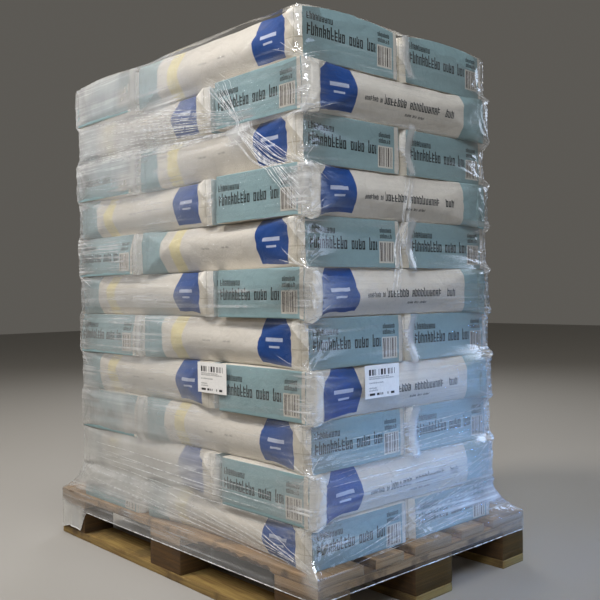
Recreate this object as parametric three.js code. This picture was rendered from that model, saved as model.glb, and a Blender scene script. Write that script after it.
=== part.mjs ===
// A wooden pallet loaded with eleven layers of paper sacks, three sacks to a layer, wrapped in stretch film.
// Millimetres, +Z up. The origin is on the floor under the middle of the pallet.
// X runs along the long side of the pallet, Y along its short side.
import * as THREE from "three";

// Pallet: a four-way flat pallet of 1200 x 800 x 144.
const PALLET_LENGTH = 1200;
const PALLET_WIDTH = 800;
const BOARD_THICKNESS = 22;
const BLOCK_HEIGHT = 78;
const WIDE_BOARD = 145;
const NARROW_BOARD = 100;
const CORNER_CUT = 14;

// Sacks: their length, width and the height of a layer of them, squashed flat by those above.
const SACK_LENGTH = 680;
const SACK_WIDTH = 348;
const LAYER_COUNT = 11;
const LAYER_HEIGHT = 116;
const FIRST_LAYER_HEIGHT = 100;
const TOP_LAYER_HEIGHT = 138;
const REST_GAP = 0.3;
const SIDE_GAP = 4;

// Where the load stands on the pallet: it is set towards the corner at +X, -Y.
const LOAD_FRONT = -390;
const ODD_LOAD_END = 552;
const EVEN_LOAD_END = 575;
const LENGTHWISE_END_OF_EVEN = 206;
const LOAD_TAIL = -489;
// Each layer's own slip along X, from the lowest up, as such a stack leans to and fro.
const LAYER_SLIP = [8, 3, 5, 2, 2, -2, -2, -2, -5, 0, -3];

// Shape of one filled sack: its sides are folded outward at mid-height, and its ears stand at full height.
const EDGE_SETBACK = 24;
const FOLD_CURVE = 1.3;
const FOLD_START = 180;
const EAR_DRAW = 4;
const EAR_CUT = 8;
const EAR_RUN = 15;
const SIDE_STEPS = 6;
// The sacks of the upper layer are crowned: shares of their height.
const CROWN_RISE = 0.1;
const CROWN_END_DROP = 0.1;

// Film: a sleeve, drawn thicker than real film so that it is a solid.
const FILM_THICKNESS = 1;
const FILM_CLEARANCE = 5;
const PALLET_CLEARANCE = 0.6;
const FILM_LOWER_EDGE = 91;
// The flare from the edge of the pallet in to the load: height, and how far out it still is, from 1 to 0.
const FLARE = [[172, 0.45], [210, 0.12], [250, 0]];
const FILM_TOP_LEAN = 26;
const FILM_RIM_RISE = 4;
const SHOULDER_HEIGHT = 0.91;
const SHOULDER_LEAN = 0.02;
const LOAD_CORNER_RADIUS = 30;
const PALLET_CORNER_RADIUS = 1;
const POINTS_PER_CORNER = 4;

// Labels stuck on the film.
const LABEL_WIDTH = 120;
const LABEL_HEIGHT = 77;
const LABEL_THICKNESS = 0.4;
const LABEL_LIFT = 0.3;
const FRONT_LABEL_X = 224;
const END_LABEL_Y = -168;
const LABEL_CENTRE_Z = 556;

const PALLET_HEIGHT = 3 * BOARD_THICKNESS + BLOCK_HEIGHT;
const LAYERS = Array.from({ length: LAYER_COUNT }, (_, layer) => layer);

const pallet = new THREE.Group();
const load = new THREE.Group();
const wrapping = new THREE.Group();
const palletOfSacks = new THREE.Group();
palletOfSacks.add(pallet, load, wrapping);

function material(color, roughness, metalness = 0) {
  return new THREE.MeshStandardMaterial({ color, roughness, metalness });
}

const DECK_WOOD = () => material(0xa8845c, 0.85);
const BLOCK_WOOD = () => material(0x5e4630, 0.9);
const BASE_WOOD = () => material(0x9a8048, 0.85);
const SACK_PAPER = () => material(0xcfc8bb, 0.75);
const CLEAR_FILM = () => material(0xdfe5ea, 0.25);
const LABEL_PAPER = () => material(0xf2f2ee, 0.6);

function addMesh(group, name, geometry, surface, x, y, z) {
  const mesh = new THREE.Mesh(geometry, surface);
  mesh.name = name;
  mesh.position.set(x, y, z);
  group.add(mesh);
  return mesh;
}

// Pallet

// Places across a length for a row of pieces: equal gaps between them, the outer two flush with the ends.
function spreadCentres(total, sizes) {
  const used = sizes.reduce((sum, size) => sum + size, 0);
  const gap = (total - used) / (sizes.length - 1);
  let edge = -total / 2;
  return sizes.map((size) => {
    const centre = edge + size / 2;
    edge += size + gap;
    return centre;
  });
}

// A board lying flat, long along X, with the four corners of its plan cut off at 45 degrees.
function cutCornerBoard(length, width, thickness, cut) {
  const x = length / 2;
  const y = width / 2;
  const plan = new THREE.Shape();
  plan.moveTo(-x + cut, -y);
  plan.lineTo(x - cut, -y);
  plan.lineTo(x, -y + cut);
  plan.lineTo(x, y - cut);
  plan.lineTo(x - cut, y);
  plan.lineTo(-x + cut, y);
  plan.lineTo(-x, y - cut);
  plan.lineTo(-x, -y + cut);
  plan.closePath();
  return new THREE.ExtrudeGeometry(plan, { depth: thickness, bevelEnabled: false });
}

function addPallet() {
  const baseWidths = [NARROW_BOARD, WIDE_BOARD, NARROW_BOARD];
  const baseRows = spreadCentres(PALLET_WIDTH, baseWidths);
  const blockColumns = spreadCentres(PALLET_LENGTH, [WIDE_BOARD, WIDE_BOARD, WIDE_BOARD]);
  const deckWidths = [WIDE_BOARD, NARROW_BOARD, WIDE_BOARD, NARROW_BOARD, WIDE_BOARD];
  const blockMiddle = BOARD_THICKNESS + BLOCK_HEIGHT / 2;
  const crossBoardMiddle = 1.5 * BOARD_THICKNESS + BLOCK_HEIGHT;
  const deckMiddle = PALLET_HEIGHT - BOARD_THICKNESS / 2;

  baseRows.forEach((y, row) => {
    const board = cutCornerBoard(PALLET_LENGTH, baseWidths[row], BOARD_THICKNESS, CORNER_CUT);
    addMesh(pallet, `bottom_board_${row + 1}`, board, BASE_WOOD(), 0, y, 0);
    blockColumns.forEach((x, column) => {
      const block = new THREE.BoxGeometry(WIDE_BOARD, baseWidths[row], BLOCK_HEIGHT);
      addMesh(pallet, `block_${row + 1}_${column + 1}`, block, BLOCK_WOOD(), x, y, blockMiddle);
    });
  });
  blockColumns.forEach((x, column) => {
    const board = new THREE.BoxGeometry(WIDE_BOARD, PALLET_WIDTH, BOARD_THICKNESS);
    addMesh(pallet, `cross_board_${column + 1}`, board, DECK_WOOD(), x, 0, crossBoardMiddle);
  });
  spreadCentres(PALLET_WIDTH, deckWidths).forEach((y, row) => {
    const board = new THREE.BoxGeometry(PALLET_LENGTH, deckWidths[row], BOARD_THICKNESS);
    addMesh(pallet, `deck_board_${row + 1}`, board, DECK_WOOD(), 0, y, deckMiddle);
  });
}

// Closed surface over rings of points that all have the same number of corners, with both ends filled in.
function loft(rings) {
  const count = rings[0].length;
  const positions = rings.flat(2);
  const faces = [];
  for (let ring = 0; ring + 1 < rings.length; ring += 1) {
    for (let corner = 0; corner < count; corner += 1) {
      const next = (corner + 1) % count;
      const a = ring * count + corner;
      const b = ring * count + next;
      faces.push(a, b, b + count, a, b + count, a + count);
    }
  }
  const last = (rings.length - 1) * count;
  for (let corner = 1; corner + 1 < count; corner += 1) {
    faces.push(0, corner + 1, corner);
    faces.push(last, last + corner, last + corner + 1);
  }
  const geometry = new THREE.BufferGeometry();
  geometry.setAttribute("position", new THREE.Float32BufferAttribute(positions, 3));
  geometry.setIndex(faces);
  return geometry;
}

// Sacks

// One filled sack, long along X and standing on z = 0. Each side stands out furthest at a fold at mid-height
// and leans in from it by EDGE_SETBACK to the edges that the sack rests on. Towards each end the fold
// flattens out into an upright ear, whose corner is cut off in plan beside the end face.
// A crowned sack is highest along its middle and lower at both ends.
function sackGeometry(height, crowned) {
  const end = SACK_LENGTH / 2;
  const rise = crowned ? CROWN_RISE : 0;
  const endTop = crowned ? 1 - CROWN_END_DROP : 1;
  const nearStations = [
    { x: end, narrowing: EAR_DRAW + EAR_CUT, opened: 0, top: endTop },
    { x: end - EAR_RUN, narrowing: EAR_DRAW, opened: 0, top: endTop },
    { x: end - FOLD_START, narrowing: 0, opened: 1, top: 1 },
  ];
  const farStations = nearStations.map((station) => ({ ...station, x: -station.x }));
  const middle = { x: 0, narrowing: 0, opened: 1, top: 1 };
  const stations = [...farStations, middle, ...nearStations.reverse()];
  return loft(stations.map((station) => sackSection(station, height, rise)));
}

// One section across a sack: up one side, over the top and down the other side.
function sackSection({ x, narrowing, opened, top }, height, rise) {
  const edgeHeight = height * top * (1 - rise);
  const side = Array.from({ length: SIDE_STEPS + 1 }, (_, step) => {
    const share = step / SIDE_STEPS;
    const setback = EDGE_SETBACK * opened * Math.abs(2 * share - 1) ** FOLD_CURVE;
    return [SACK_WIDTH / 2 - narrowing - setback, share * edgeHeight];
  });
  const edge = side[SIDE_STEPS][0];
  const acrossTop = rise === 0 ? [] : [0.5, 0, -0.5];
  const crown = acrossTop.map((share) => [share * edge, height * top * (1 - rise * share ** 2)]);
  const otherSide = side.map(([y, z]) => [-y, z]).reverse();
  return [...side, ...crown, ...otherSide].map(([y, z]) => [x, y, z]);
}

// Height of the floor of a layer, counted from 0, above the ground.
function layerFloor(layer) {
  return layer === 0 ? PALLET_HEIGHT : PALLET_HEIGHT + FIRST_LAYER_HEIGHT + (layer - 1) * LAYER_HEIGHT;
}

function layerHeight(layer) {
  if (layer === 0) return FIRST_LAYER_HEIGHT;
  return layer === LAYER_COUNT - 1 ? TOP_LAYER_HEIGHT : LAYER_HEIGHT;
}

function isOdd(layer) {
  return layer % 2 === 0;
}

// Each layer has two sacks lengthwise, front and back, and one crosswise at the other end.
// The layers alternate, so that the crosswise sack ties those below together.
function addLayer(layer) {
  const crowned = layer === LAYER_COUNT - 1;
  const height = layerHeight(layer) - REST_GAP;
  const z = layerFloor(layer) + REST_GAP;
  const slip = LAYER_SLIP[layer];
  const lengthwiseEnd = slip + (isOdd(layer) ? ODD_LOAD_END : LENGTHWISE_END_OF_EVEN);
  const crossEnd = slip + (isOdd(layer) ? LOAD_TAIL + SACK_WIDTH : EVEN_LOAD_END);
  const lengthwiseX = lengthwiseEnd - SACK_LENGTH / 2;
  const crossX = crossEnd - SACK_WIDTH / 2;
  const frontY = LOAD_FRONT + SACK_WIDTH / 2;
  const backY = frontY + SACK_WIDTH + SIDE_GAP;
  const crossY = LOAD_FRONT + SACK_LENGTH / 2;
  const number = String(layer + 1).padStart(2, "0");

  const addSack = (place, x, y) => {
    return addMesh(load, `sack_${number}_${place}`, sackGeometry(height, crowned), SACK_PAPER(), x, y, z);
  };
  addSack("front", lengthwiseX, frontY);
  addSack("back", lengthwiseX, backY);
  addSack("cross", crossX, crossY).rotation.z = Math.PI / 2;
}

// Film

// Plan of the film as a rectangle with round corners.
function filmRing({ west, east, south, north, radius, z }) {
  const corners = [
    [east - radius, south + radius, -90],
    [east - radius, north - radius, 0],
    [west + radius, north - radius, 90],
    [west + radius, south + radius, 180],
  ];
  return corners.flatMap(([x, y, start]) => {
    return Array.from({ length: POINTS_PER_CORNER }, (_, step) => {
      const angle = THREE.MathUtils.degToRad(start + (90 * step) / (POINTS_PER_CORNER - 1));
      return [x + radius * Math.cos(angle), y + radius * Math.sin(angle), z];
    });
  });
}

// The rectangle that holds a layer, with the film's clearance.
function layerPlan(layer) {
  const slip = LAYER_SLIP[layer];
  const evenTail = LENGTHWISE_END_OF_EVEN - SACK_LENGTH;
  return {
    west: slip + (isOdd(layer) ? LOAD_TAIL : evenTail) - FILM_CLEARANCE,
    east: slip + (isOdd(layer) ? ODD_LOAD_END : EVEN_LOAD_END) + FILM_CLEARANCE,
    south: LOAD_FRONT - FILM_CLEARANCE,
    north: LOAD_FRONT + 2 * SACK_WIDTH + SIDE_GAP + FILM_CLEARANCE,
    radius: LOAD_CORNER_RADIUS,
    z: layerFloor(layer) + layerHeight(layer) / 2,
  };
}

// The same plan moved outward all round.
function grownPlan(plan, amount) {
  return {
    west: plan.west - amount,
    east: plan.east + amount,
    south: plan.south - amount,
    north: plan.north + amount,
    radius: plan.radius + amount,
    z: plan.z,
  };
}

// The plan that lies between two others: the first where share is 0, the second where it is 1.
function mixPlans(from, to, share, z) {
  const mix = (key) => THREE.MathUtils.lerp(from[key], to[key], share);
  return {
    west: mix("west"),
    east: mix("east"),
    south: mix("south"),
    north: mix("north"),
    radius: mix("radius"),
    z,
  };
}

// The smallest plan that holds two others.
function planAround(one, other, z) {
  return {
    west: Math.min(one.west, other.west),
    east: Math.max(one.east, other.east),
    south: Math.min(one.south, other.south),
    north: Math.max(one.north, other.north),
    radius: LOAD_CORNER_RADIUS,
    z,
  };
}

// The sleeve hangs over the edge of the pallet and curves in to the load. It follows each layer's middle, and
// where two layers meet it goes round the ears of the one that stands out further.
// At the top it leans in over the upper sacks, and it is open above and below.
function filmGeometry() {
  const overPallet = {
    west: -PALLET_LENGTH / 2 - PALLET_CLEARANCE,
    east: PALLET_LENGTH / 2 + PALLET_CLEARANCE,
    south: -PALLET_WIDTH / 2 - PALLET_CLEARANCE,
    north: PALLET_WIDTH / 2 + PALLET_CLEARANCE,
    radius: PALLET_CORNER_RADIUS,
  };
  const aroundLowest = planAround(layerPlan(0), layerPlan(1), layerFloor(1));
  const top = layerPlan(LAYER_COUNT - 1);
  const topFloor = layerFloor(LAYER_COUNT - 1);
  const rim = { ...grownPlan(top, -FILM_TOP_LEAN), radius: top.radius };
  const aroundUpperLayers = LAYERS.slice(2).flatMap((layer) => {
    const below = layerPlan(layer - 1);
    return [below, planAround(below, layerPlan(layer), layerFloor(layer))];
  });
  const plans = [
    { ...overPallet, z: FILM_LOWER_EDGE },
    { ...overPallet, z: PALLET_HEIGHT + 1 },
    ...FLARE.map(([z, share]) => mixPlans(aroundLowest, overPallet, share, z)),
    ...aroundUpperLayers,
    mixPlans(top, rim, SHOULDER_LEAN, topFloor + SHOULDER_HEIGHT * TOP_LAYER_HEIGHT),
    { ...rim, z: topFloor + TOP_LAYER_HEIGHT + FILM_RIM_RISE },
  ];
  const inner = plans.map(filmRing);
  const outer = plans.map((plan) => filmRing(grownPlan(plan, FILM_THICKNESS)));
  return tube(inner, outer);
}

// A wall between an inner and an outer stack of rings, closed at both rims.
function tube(inner, outer) {
  const count = inner[0].length;
  const levels = inner.length;
  const positions = [...outer, ...inner].flat(2);
  const innerStart = levels * count;
  const faces = [];
  const quad = (a, b, c, d) => faces.push(a, b, c, a, c, d);
  for (let corner = 0; corner < count; corner += 1) {
    const next = (corner + 1) % count;
    for (let level = 0; level + 1 < levels; level += 1) {
      const a = level * count + corner;
      const b = level * count + next;
      quad(a, b, b + count, a + count);
      quad(innerStart + b, innerStart + a, innerStart + a + count, innerStart + b + count);
    }
    const top = (levels - 1) * count;
    quad(corner, innerStart + corner, innerStart + next, next);
    quad(top + next, innerStart + top + next, innerStart + top + corner, top + corner);
  }
  const geometry = new THREE.BufferGeometry();
  geometry.setAttribute("position", new THREE.Float32BufferAttribute(positions, 3));
  geometry.setIndex(faces);
  return geometry;
}

// Labels: one on the film's front, and one on its end face, on the film round the fourth layer.
function addLabels() {
  const gap = FILM_THICKNESS + LABEL_LIFT + LABEL_THICKNESS / 2;
  const fourth = layerPlan(3);
  const front = new THREE.BoxGeometry(LABEL_WIDTH, LABEL_THICKNESS, LABEL_HEIGHT);
  addMesh(wrapping, "front_label", front, LABEL_PAPER(), FRONT_LABEL_X, fourth.south - gap, LABEL_CENTRE_Z);
  const end = new THREE.BoxGeometry(LABEL_THICKNESS, LABEL_WIDTH, LABEL_HEIGHT);
  addMesh(wrapping, "end_label", end, LABEL_PAPER(), fourth.east + gap, END_LABEL_Y, LABEL_CENTRE_Z);
}

addPallet();
LAYERS.forEach(addLayer);
addMesh(wrapping, "stretch_film", filmGeometry(), CLEAR_FILM(), 0, 0, 0);
addLabels();

export default palletOfSacks;
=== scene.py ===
"""Looks of a wooden pallet of paper sacks in stretch film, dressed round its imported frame. Metres, +Z up."""
import math
from types import SimpleNamespace

import bpy
import numpy as np
from mathutils import Matrix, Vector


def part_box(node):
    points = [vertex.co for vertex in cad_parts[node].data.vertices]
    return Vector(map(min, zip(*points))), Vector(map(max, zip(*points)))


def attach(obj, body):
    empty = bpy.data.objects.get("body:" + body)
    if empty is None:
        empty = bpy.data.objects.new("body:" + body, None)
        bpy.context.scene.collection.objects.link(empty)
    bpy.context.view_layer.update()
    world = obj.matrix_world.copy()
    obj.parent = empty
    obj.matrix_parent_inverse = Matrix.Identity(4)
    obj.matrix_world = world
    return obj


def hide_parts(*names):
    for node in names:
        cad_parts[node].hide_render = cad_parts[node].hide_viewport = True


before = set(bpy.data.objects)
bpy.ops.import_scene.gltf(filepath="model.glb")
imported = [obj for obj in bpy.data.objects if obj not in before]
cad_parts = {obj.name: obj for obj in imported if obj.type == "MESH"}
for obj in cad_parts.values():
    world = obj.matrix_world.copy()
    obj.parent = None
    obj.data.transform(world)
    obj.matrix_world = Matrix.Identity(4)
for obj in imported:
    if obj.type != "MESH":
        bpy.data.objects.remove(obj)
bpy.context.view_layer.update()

MM = 0.001

# Camera, matched to the corners of the pallet in the photograph, which is 600 pixels square. Yaw, pitch, roll.
PHOTO_SIZE = 600
CAMERA_PLACE = (1.8674, -1.5982, 0.7686)
CAMERA_TURN = (47.59, -0.59, -0.78)
FOCAL_PIXELS = 810.7
SENSOR = 36.0

# Lights: place, target, width, watts, colour, spread in degrees, and whether the film mirrors them. The key, from the
# upper left, gives the shadows; the boxes light the sides and, where they are mirrored, the glints on the film.
LIGHTS = {
    "key": ((-1.6, -2.8, 4.5), (0, -0.2, 0.8), 1.1, 143, "#fff4e6", 180, True),
    "overhead": ((1.2, -0.8, 4.8), (0.2, 0, 0.8), 1.2, 40, "#ffffff", 180, True),
    "back_box": ((-2.9, 2.9, 3.2), (-0.2, 0.1, 0.7), 1.8, 46, "#ffffff", 180, True),
    "fill": ((2.4, -2.3, 3.1), (0.5, -0.42, 1.1), 1.4, 8.2, "#eef4ff", 50, True),
    "right_box": ((4.2, 2.6, 0.9), (0.5, 0, 0.6), 1.6, 7, "#cfe0ff", 180, True),
    "low_box": ((1.75, 2.4, 0.3), (0.6, 0.15, 0.28), 0.7, 2.8, "#76b2ff", 22, False),
    "left_box": ((-3.0, -2.6, 1.9), (-0.4, -0.35, 1.6), 1.2, 3.0, "#e9f0ff", 34, False),
    "flare_box": ((1.7, 3.3, 1.9), (0.62, 0.3, 0.2), 1.0, 6, "#d9e8ff", 180, True),
    "small_left": ((-0.5, -4.2, 2.6), (0.4, -0.3, 0.8), 0.14, 5, "#ffffff", 180, True),
    "small_right": ((4.4, -0.6, 2.3), (0.5, -0.2, 0.8), 0.14, 5, "#ffffff", 180, True),
}
FLOOR_REACH = 14.0
WORLD_LIGHT = 0.135

# Sack shape
SACK_PLACES = ("front", "back", "cross")
LAYER_COUNT = 11
LAYER_PITCH = 116 * MM
CORNER_CUT = (8 * MM, 13 * MM)
CORNER_RUN = 19 * MM
STRIP_DEPTH = 42 * MM
FOLD_LINES = (17 * MM, 18.5 * MM, 20 * MM, 21.5 * MM, 40.5 * MM, 41.5 * MM, 42.5 * MM, 43.5 * MM)
STATIONS = 70
SIDE_STEPS = 25
FLAT_STEPS = 8
TOP_STEPS = 30
OVERHANG = 24 * MM
CAP_RINGS = (0.985, 0.94, 0.87, 0.78, 0.67, 0.56, 0.44, 0.32, 0.2, 0.0)
SHARP_EDGE = 42

# Side of a sack, as ranges: height of the ridge as a share of the sack's and how much that changes along it, the
# length in metres of the folds by the near and the far end, and in mm how far those draw the side in and how far the
# upper and the lower edge lie in
RIDGE_SHARE = (0.44, 0.66)
RIDGE_TILT = 0.16
FOLD_REACH = ((0.09, 0.2), (0.12, 0.26))
FOLD_DRAW = ((3, 6), (4, 8))
EDGE_INSET = ((27, 36), (24, 34))

# Print on a sack's side, measured from the end that carries the text. The panel's bars are start, end, foot and top.
PANEL_START = 46 * MM
PANEL_LENGTH = 118 * MM
PANEL_HEIGHT = (-0.052, 0.078)
PANEL_BARS = ((0.029, 0.089, 0.004, 0.013), (0.041, 0.077, -0.011, -0.006))
TINT_START = 572 * MM
STRIPE = (0.478, 0.527)
EDGE = 0.5 * MM

# Corner of the end fold that lies over the side: a triangle from the upper edge, where it is FLAP_REACH long
FLAP_REACH = 82 * MM
FLAP_SLOPE = 1.25
FLAP_TOP = 66 * MM

# Stand-ins for lines of print: start, length, foot and height of the line, width of a letter, the places of the gaps
# between its words and a seed, in metres
SIDE_TEXT = ((0.262, 0.27, -0.014, 0.0165, 0.0118, (0.345, 0.475, 0.486), 3.0),
             (0.192, 0.062, -0.013, 0.0095, 0.0068, (0.235,), 11.0),
             (0.345, 0.075, -0.033, 0.0055, 0.0042, (0.37, 0.39), 5.0))
SIDE_MARKS = ((0.27, 0.03, -0.004, 0.004, 0.003, (0.285,), 2.0), (0.35, 0.035, -0.004, 0.004, 0.003, (0.365,), 8.0))
END_TEXT = ((-0.146, 0.224, -0.016, 0.021, 0.0122, (-0.024, 0.040), 21.0),
            (-0.147, 0.083, 0.019, 0.0125, 0.0092, (), 7.0),
            (0.086, 0.044, 0.027, 0.0085, 0.0062, (), 4.0), (0.086, 0.044, 0.013, 0.0085, 0.0062, (), 9.0))
LABEL_TEXT = [(0.014, length, foot, 0.0026, 0.0024, (), foot * 100)
              for foot, length in ((0.0475, 0.07), (0.0435, 0.088), (0.034, 0.05), (0.022, 0.026), (0.0165, 0.03))]

# Shares of a cell that its strokes fill, across and up, the height of a tall one, and the share of bars left pale
FIRST_STROKE, SECOND_STROKE, BOTH_STROKES = (0.04, 0.35), (0.54, 0.85), (0.04, 0.85)
TOP_STROKE, FOOT_STROKE, MIDDLE_STROKE = (0.83, 1.0), (0.0, 0.17), (0.42, 0.58)
TALL_STROKE = 1.42
PALE_BARS = 0.45

# Rows of bars: left, right, foot, top and the width of a bar
END_CODE = (0.088, 0.134, -0.043, 0.003, 0.0021)
END_CODE_BOX = (0.084, 0.138, -0.047, 0.006)
LABEL_CODE = (0.014, 0.106, 0.053, 0.067, 0.0019)
LABEL_DOTS = (0.012, 0.108, 0.006, 0.0115, 0.0031)
PATCH_END = 0.144

# Colours
PAPER_WHITE = "#d0cabf"
FOLD_WHITE = "#f3eee3"
FOLD_BEIGE = "#d2cab9"
PAINTED_FOLD_SHADE = "#8d8168"
PANEL_BLUE = "#0a4288"
PANEL_PALE = "#cfd6e6"
PATCH_TEAL = "#87a1a4"
BAND_YELLOW = "#dcd0a0"
INK_DARK = "#10191b"
BROKEN_WOOD_AND_SHADE = "#463220"
# Share of painted shade that darkens the wood's upright faces
UPRIGHT_PAINTED_SHADE = 0.9

# Film: columns along a short and a long side and round a corner, the rows' step, how far the body reaches over the
# floor of the upper layer, the rim that lies on the sacks, the usual reach of each side, and the flare over the deck
FILM_COLUMNS = (118, 180)
FILM_ARC = 10
FILM_STEP = 5 * MM
FILM_RISE = 0.105
RIM_HEIGHT = 0.03
RIM_ROWS = 8
USUAL_REACH = (0.563, 0.305, 0.482, 0.39)
FLARE_HEIGHT = 106 * MM
FLARE_POWER = 2.25
HANG_DEPTH = 62 * MM
RIDGE_COUNT, CORNER_CREASES, PLEAT_COUNT, FLARE_FOLDS = 150, 420, 90, 70

# Knots of drawn film: side (0 +X, 1 +Y, 2 -X, 3 -Y), place along it, height and size, in mm
KNOTS = ((3, 352, 1158, 34), (3, 552, 1010, 30), (3, 556, 150, 26))

# Bundles of drawn film: the number of cords, their radius, and the two ends, each a side, the range along that side
# and the range of heights, in mm
STRAND_BUNDLES = (
    (22, 0.75, (3, (335, 380), (1180, 1140)), (3, (550, 560), (1062, 945))),
    (13, 0.8, (3, (200, 285), (1312, 1262)), (3, (345, 362), (1168, 1150))),
    (22, 1.1, (3, (-500, -60), (1290, 1165)), (3, (300, 352), (1200, 1150))),
    (8, 0.7, (0, (-60, -20), (1060, 1040)), (0, (-120, -90), (760, 745))),
    (15, 0.6, (0, (-385, -160), (152, 178)), (0, (285, 300), (190, 330))),
    (5, 0.7, (3, (-470, -300), (318, 262)), (3, (380, 500), (296, 250))),
    (6, 0.6, (3, (-300, 120), (268, 202)), (3, (540, 556), (170, 154))),
    (6, 0.7, (3, (250, 460), (236, 186)), (3, (556, 560), (162, 150))),
    (4, 0.5, (3, (-480, -470), (250, 200)), (3, (-60, 60), (240, 175))),
    (8, 0.7, (0, (-380, -300), (420, 330)), (0, (250, 300), (440, 350))),
    (6, 0.7, (1, (-400, -100), (820, 760)), (1, (200, 500), (800, 700))),
    (6, 0.7, (2, (-300, -100), (520, 430)), (2, (100, 280), (560, 500))),
)
CORD_STEP = 12 * MM

# Wood: spacing of the rows on a board with a broken edge and on a plain one, steps round a worn corner, and the place
# and radius of the broken stretch of the front deck board. Nail heads: places on a crossing, radius, height, rings.
ROW_STEPS = (6 * MM, 16 * MM)
WORN_STEPS = 6
BROKEN_STRETCH = (0.66, 1.03)
BROKEN_RADIUS = 14 * MM
NAIL_PLACES = ((0.3, 0.25), (0.68, 0.75))
NAIL_RADIUS, NAIL_HEIGHT, NAIL_SIDES = 4.5 * MM, 0.9 * MM, 12
NAIL_RINGS = (0.0, 0.12, 0.45, 0.99)

# Node settings
BELOW, ABOVE = {"operation": "LESS_THAN"}, {"operation": "GREATER_THAN"}
SCALED_SUM = {"operation": "MULTIPLY_ADD"}
EASED = {"interpolation_type": "SMOOTHSTEP"}
CREASED = {"noise_type": "RIDGED_MULTIFRACTAL"}
CELL_NOISE = {"noise_dimensions": "1D"}


def linear(hex_colour):
    """sRGB hex to the linear colour, with alpha 1, that a shader socket takes."""
    parts = [int(hex_colour[i:i + 2], 16) / 255 for i in (1, 3, 5)]
    return [c / 12.92 if c <= 0.04045 else ((c + 0.055) / 1.055) ** 2.4 for c in parts] + [1.0]


def add(tree, kind, *values, out=0, **named):
    """Adds a node and returns its output out. Values fill its inputs in order, and None leaves one as it is. Of the
    named ones those with a capital letter are inputs, the others settings, which come first because some inputs
    exist only after them. A socket is linked, a hex colour turned linear and the rest set."""
    node = tree.nodes.new("ShaderNode" + kind)
    for name, value in named.items():
        if name[0].islower():
            setattr(node, name, value)
    sockets = list(zip(node.inputs, values))
    sockets += [(node.inputs[name.replace("_", " ")], value) for name, value in named.items() if name[0].isupper()]
    for socket, value in sockets:
        if isinstance(value, bpy.types.NodeSocket):
            tree.links.new(value, socket)
        elif value is not None:
            socket.default_value = linear(value) if isinstance(value, str) else value
    return node.outputs[out] if len(node.outputs) else None


def smooth(x):
    """Smooth step: 0 below 0, 1 above 1, and 3x^2 - 2x^3 between."""
    x = np.clip(x, 0, 1)
    return x * x * (3 - 2 * x)


def crowded(count, share):
    """Numbers from 0 to 1 that crowd towards both ends: share x (1 - cos(pi t)) / 2 + (1 - share) x t."""
    t = np.linspace(0, 1, count)
    return share * (0.5 - 0.5 * np.cos(math.pi * t)) + (1 - share) * t


def make_piece(name, points, faces, uv=None, materials=(), material_index=None, slot=None, **attributes):
    """A smooth mesh object from an array of points and a list of faces, riding on the only body."""
    mesh = bpy.data.meshes.new(name)
    mesh.from_pydata(np.asarray(points, float).reshape(-1, 3), [], [tuple(f) for f in faces])
    if uv is not None:
        layer = mesh.uv_layers.new(name="lay")
        loops = np.empty(len(mesh.loops), int)
        mesh.loops.foreach_get("vertex_index", loops)
        layer.data.foreach_set("uv", np.asarray(uv, float).reshape(-1, 2)[loops].ravel())
    for material in materials:
        mesh.materials.append(material)
    if material_index is not None:
        mesh.polygons.foreach_set("material_index", np.asarray(material_index, np.int32))
    mesh.polygons.foreach_set("use_smooth", np.full(len(mesh.polygons), True))
    for kind, values in attributes.items():
        attribute = mesh.attributes.new(kind, "FLOAT", "POINT")
        attribute.data.foreach_set("value", np.asarray(values, np.float32).ravel())
    mesh.update()
    piece = bpy.data.objects.new(name, mesh)
    bpy.context.scene.collection.objects.link(piece)
    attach(piece, "root")
    return piece


def grid_faces(rows, columns, wrap=True):
    """Quads of a grid of points, row by row; with wrap the last column joins the first."""
    i, j = np.meshgrid(np.arange(rows - 1), np.arange(columns if wrap else columns - 1), indexing="ij")
    k = (j + 1) % columns
    quads = np.stack([i * columns + j, i * columns + k, (i + 1) * columns + k, (i + 1) * columns + j], -1)
    return quads.reshape(-1, 4)


# Materials

def new_material(name):
    """A material and its node tree, emptied."""
    material = bpy.data.materials.new(name)
    material.use_nodes = True
    tree = material.node_tree
    tree.nodes.clear()
    return material, tree


def times(tree, result, *values):
    """Product of values."""
    for value in values:
        result = add(tree, "Math", result, value, operation="MULTIPLY")
    return result


def most(tree, result, *values):
    """Largest of values: where any of several masks is 1."""
    for value in values:
        result = add(tree, "Math", result, value, operation="MAXIMUM")
    return result


def band(tree, value, low, high, soft=EDGE):
    """1 where value lies between low and high, with an edge that is soft wide."""
    return times(tree, add(tree, "MapRange", value, low - soft, low + soft, **EASED),
                 add(tree, "MapRange", value, high - soft, high + soft, 1.0, 0.0, **EASED))


def lay_over(tree, colour, *layers):
    """Lays colours over the first one in turn, each where its mask is 1."""
    for mask, over in layers:
        colour = add(tree, "Mix", mask, *[None] * 5, colour, over, data_type="RGBA", out=2)
    return colour


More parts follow.
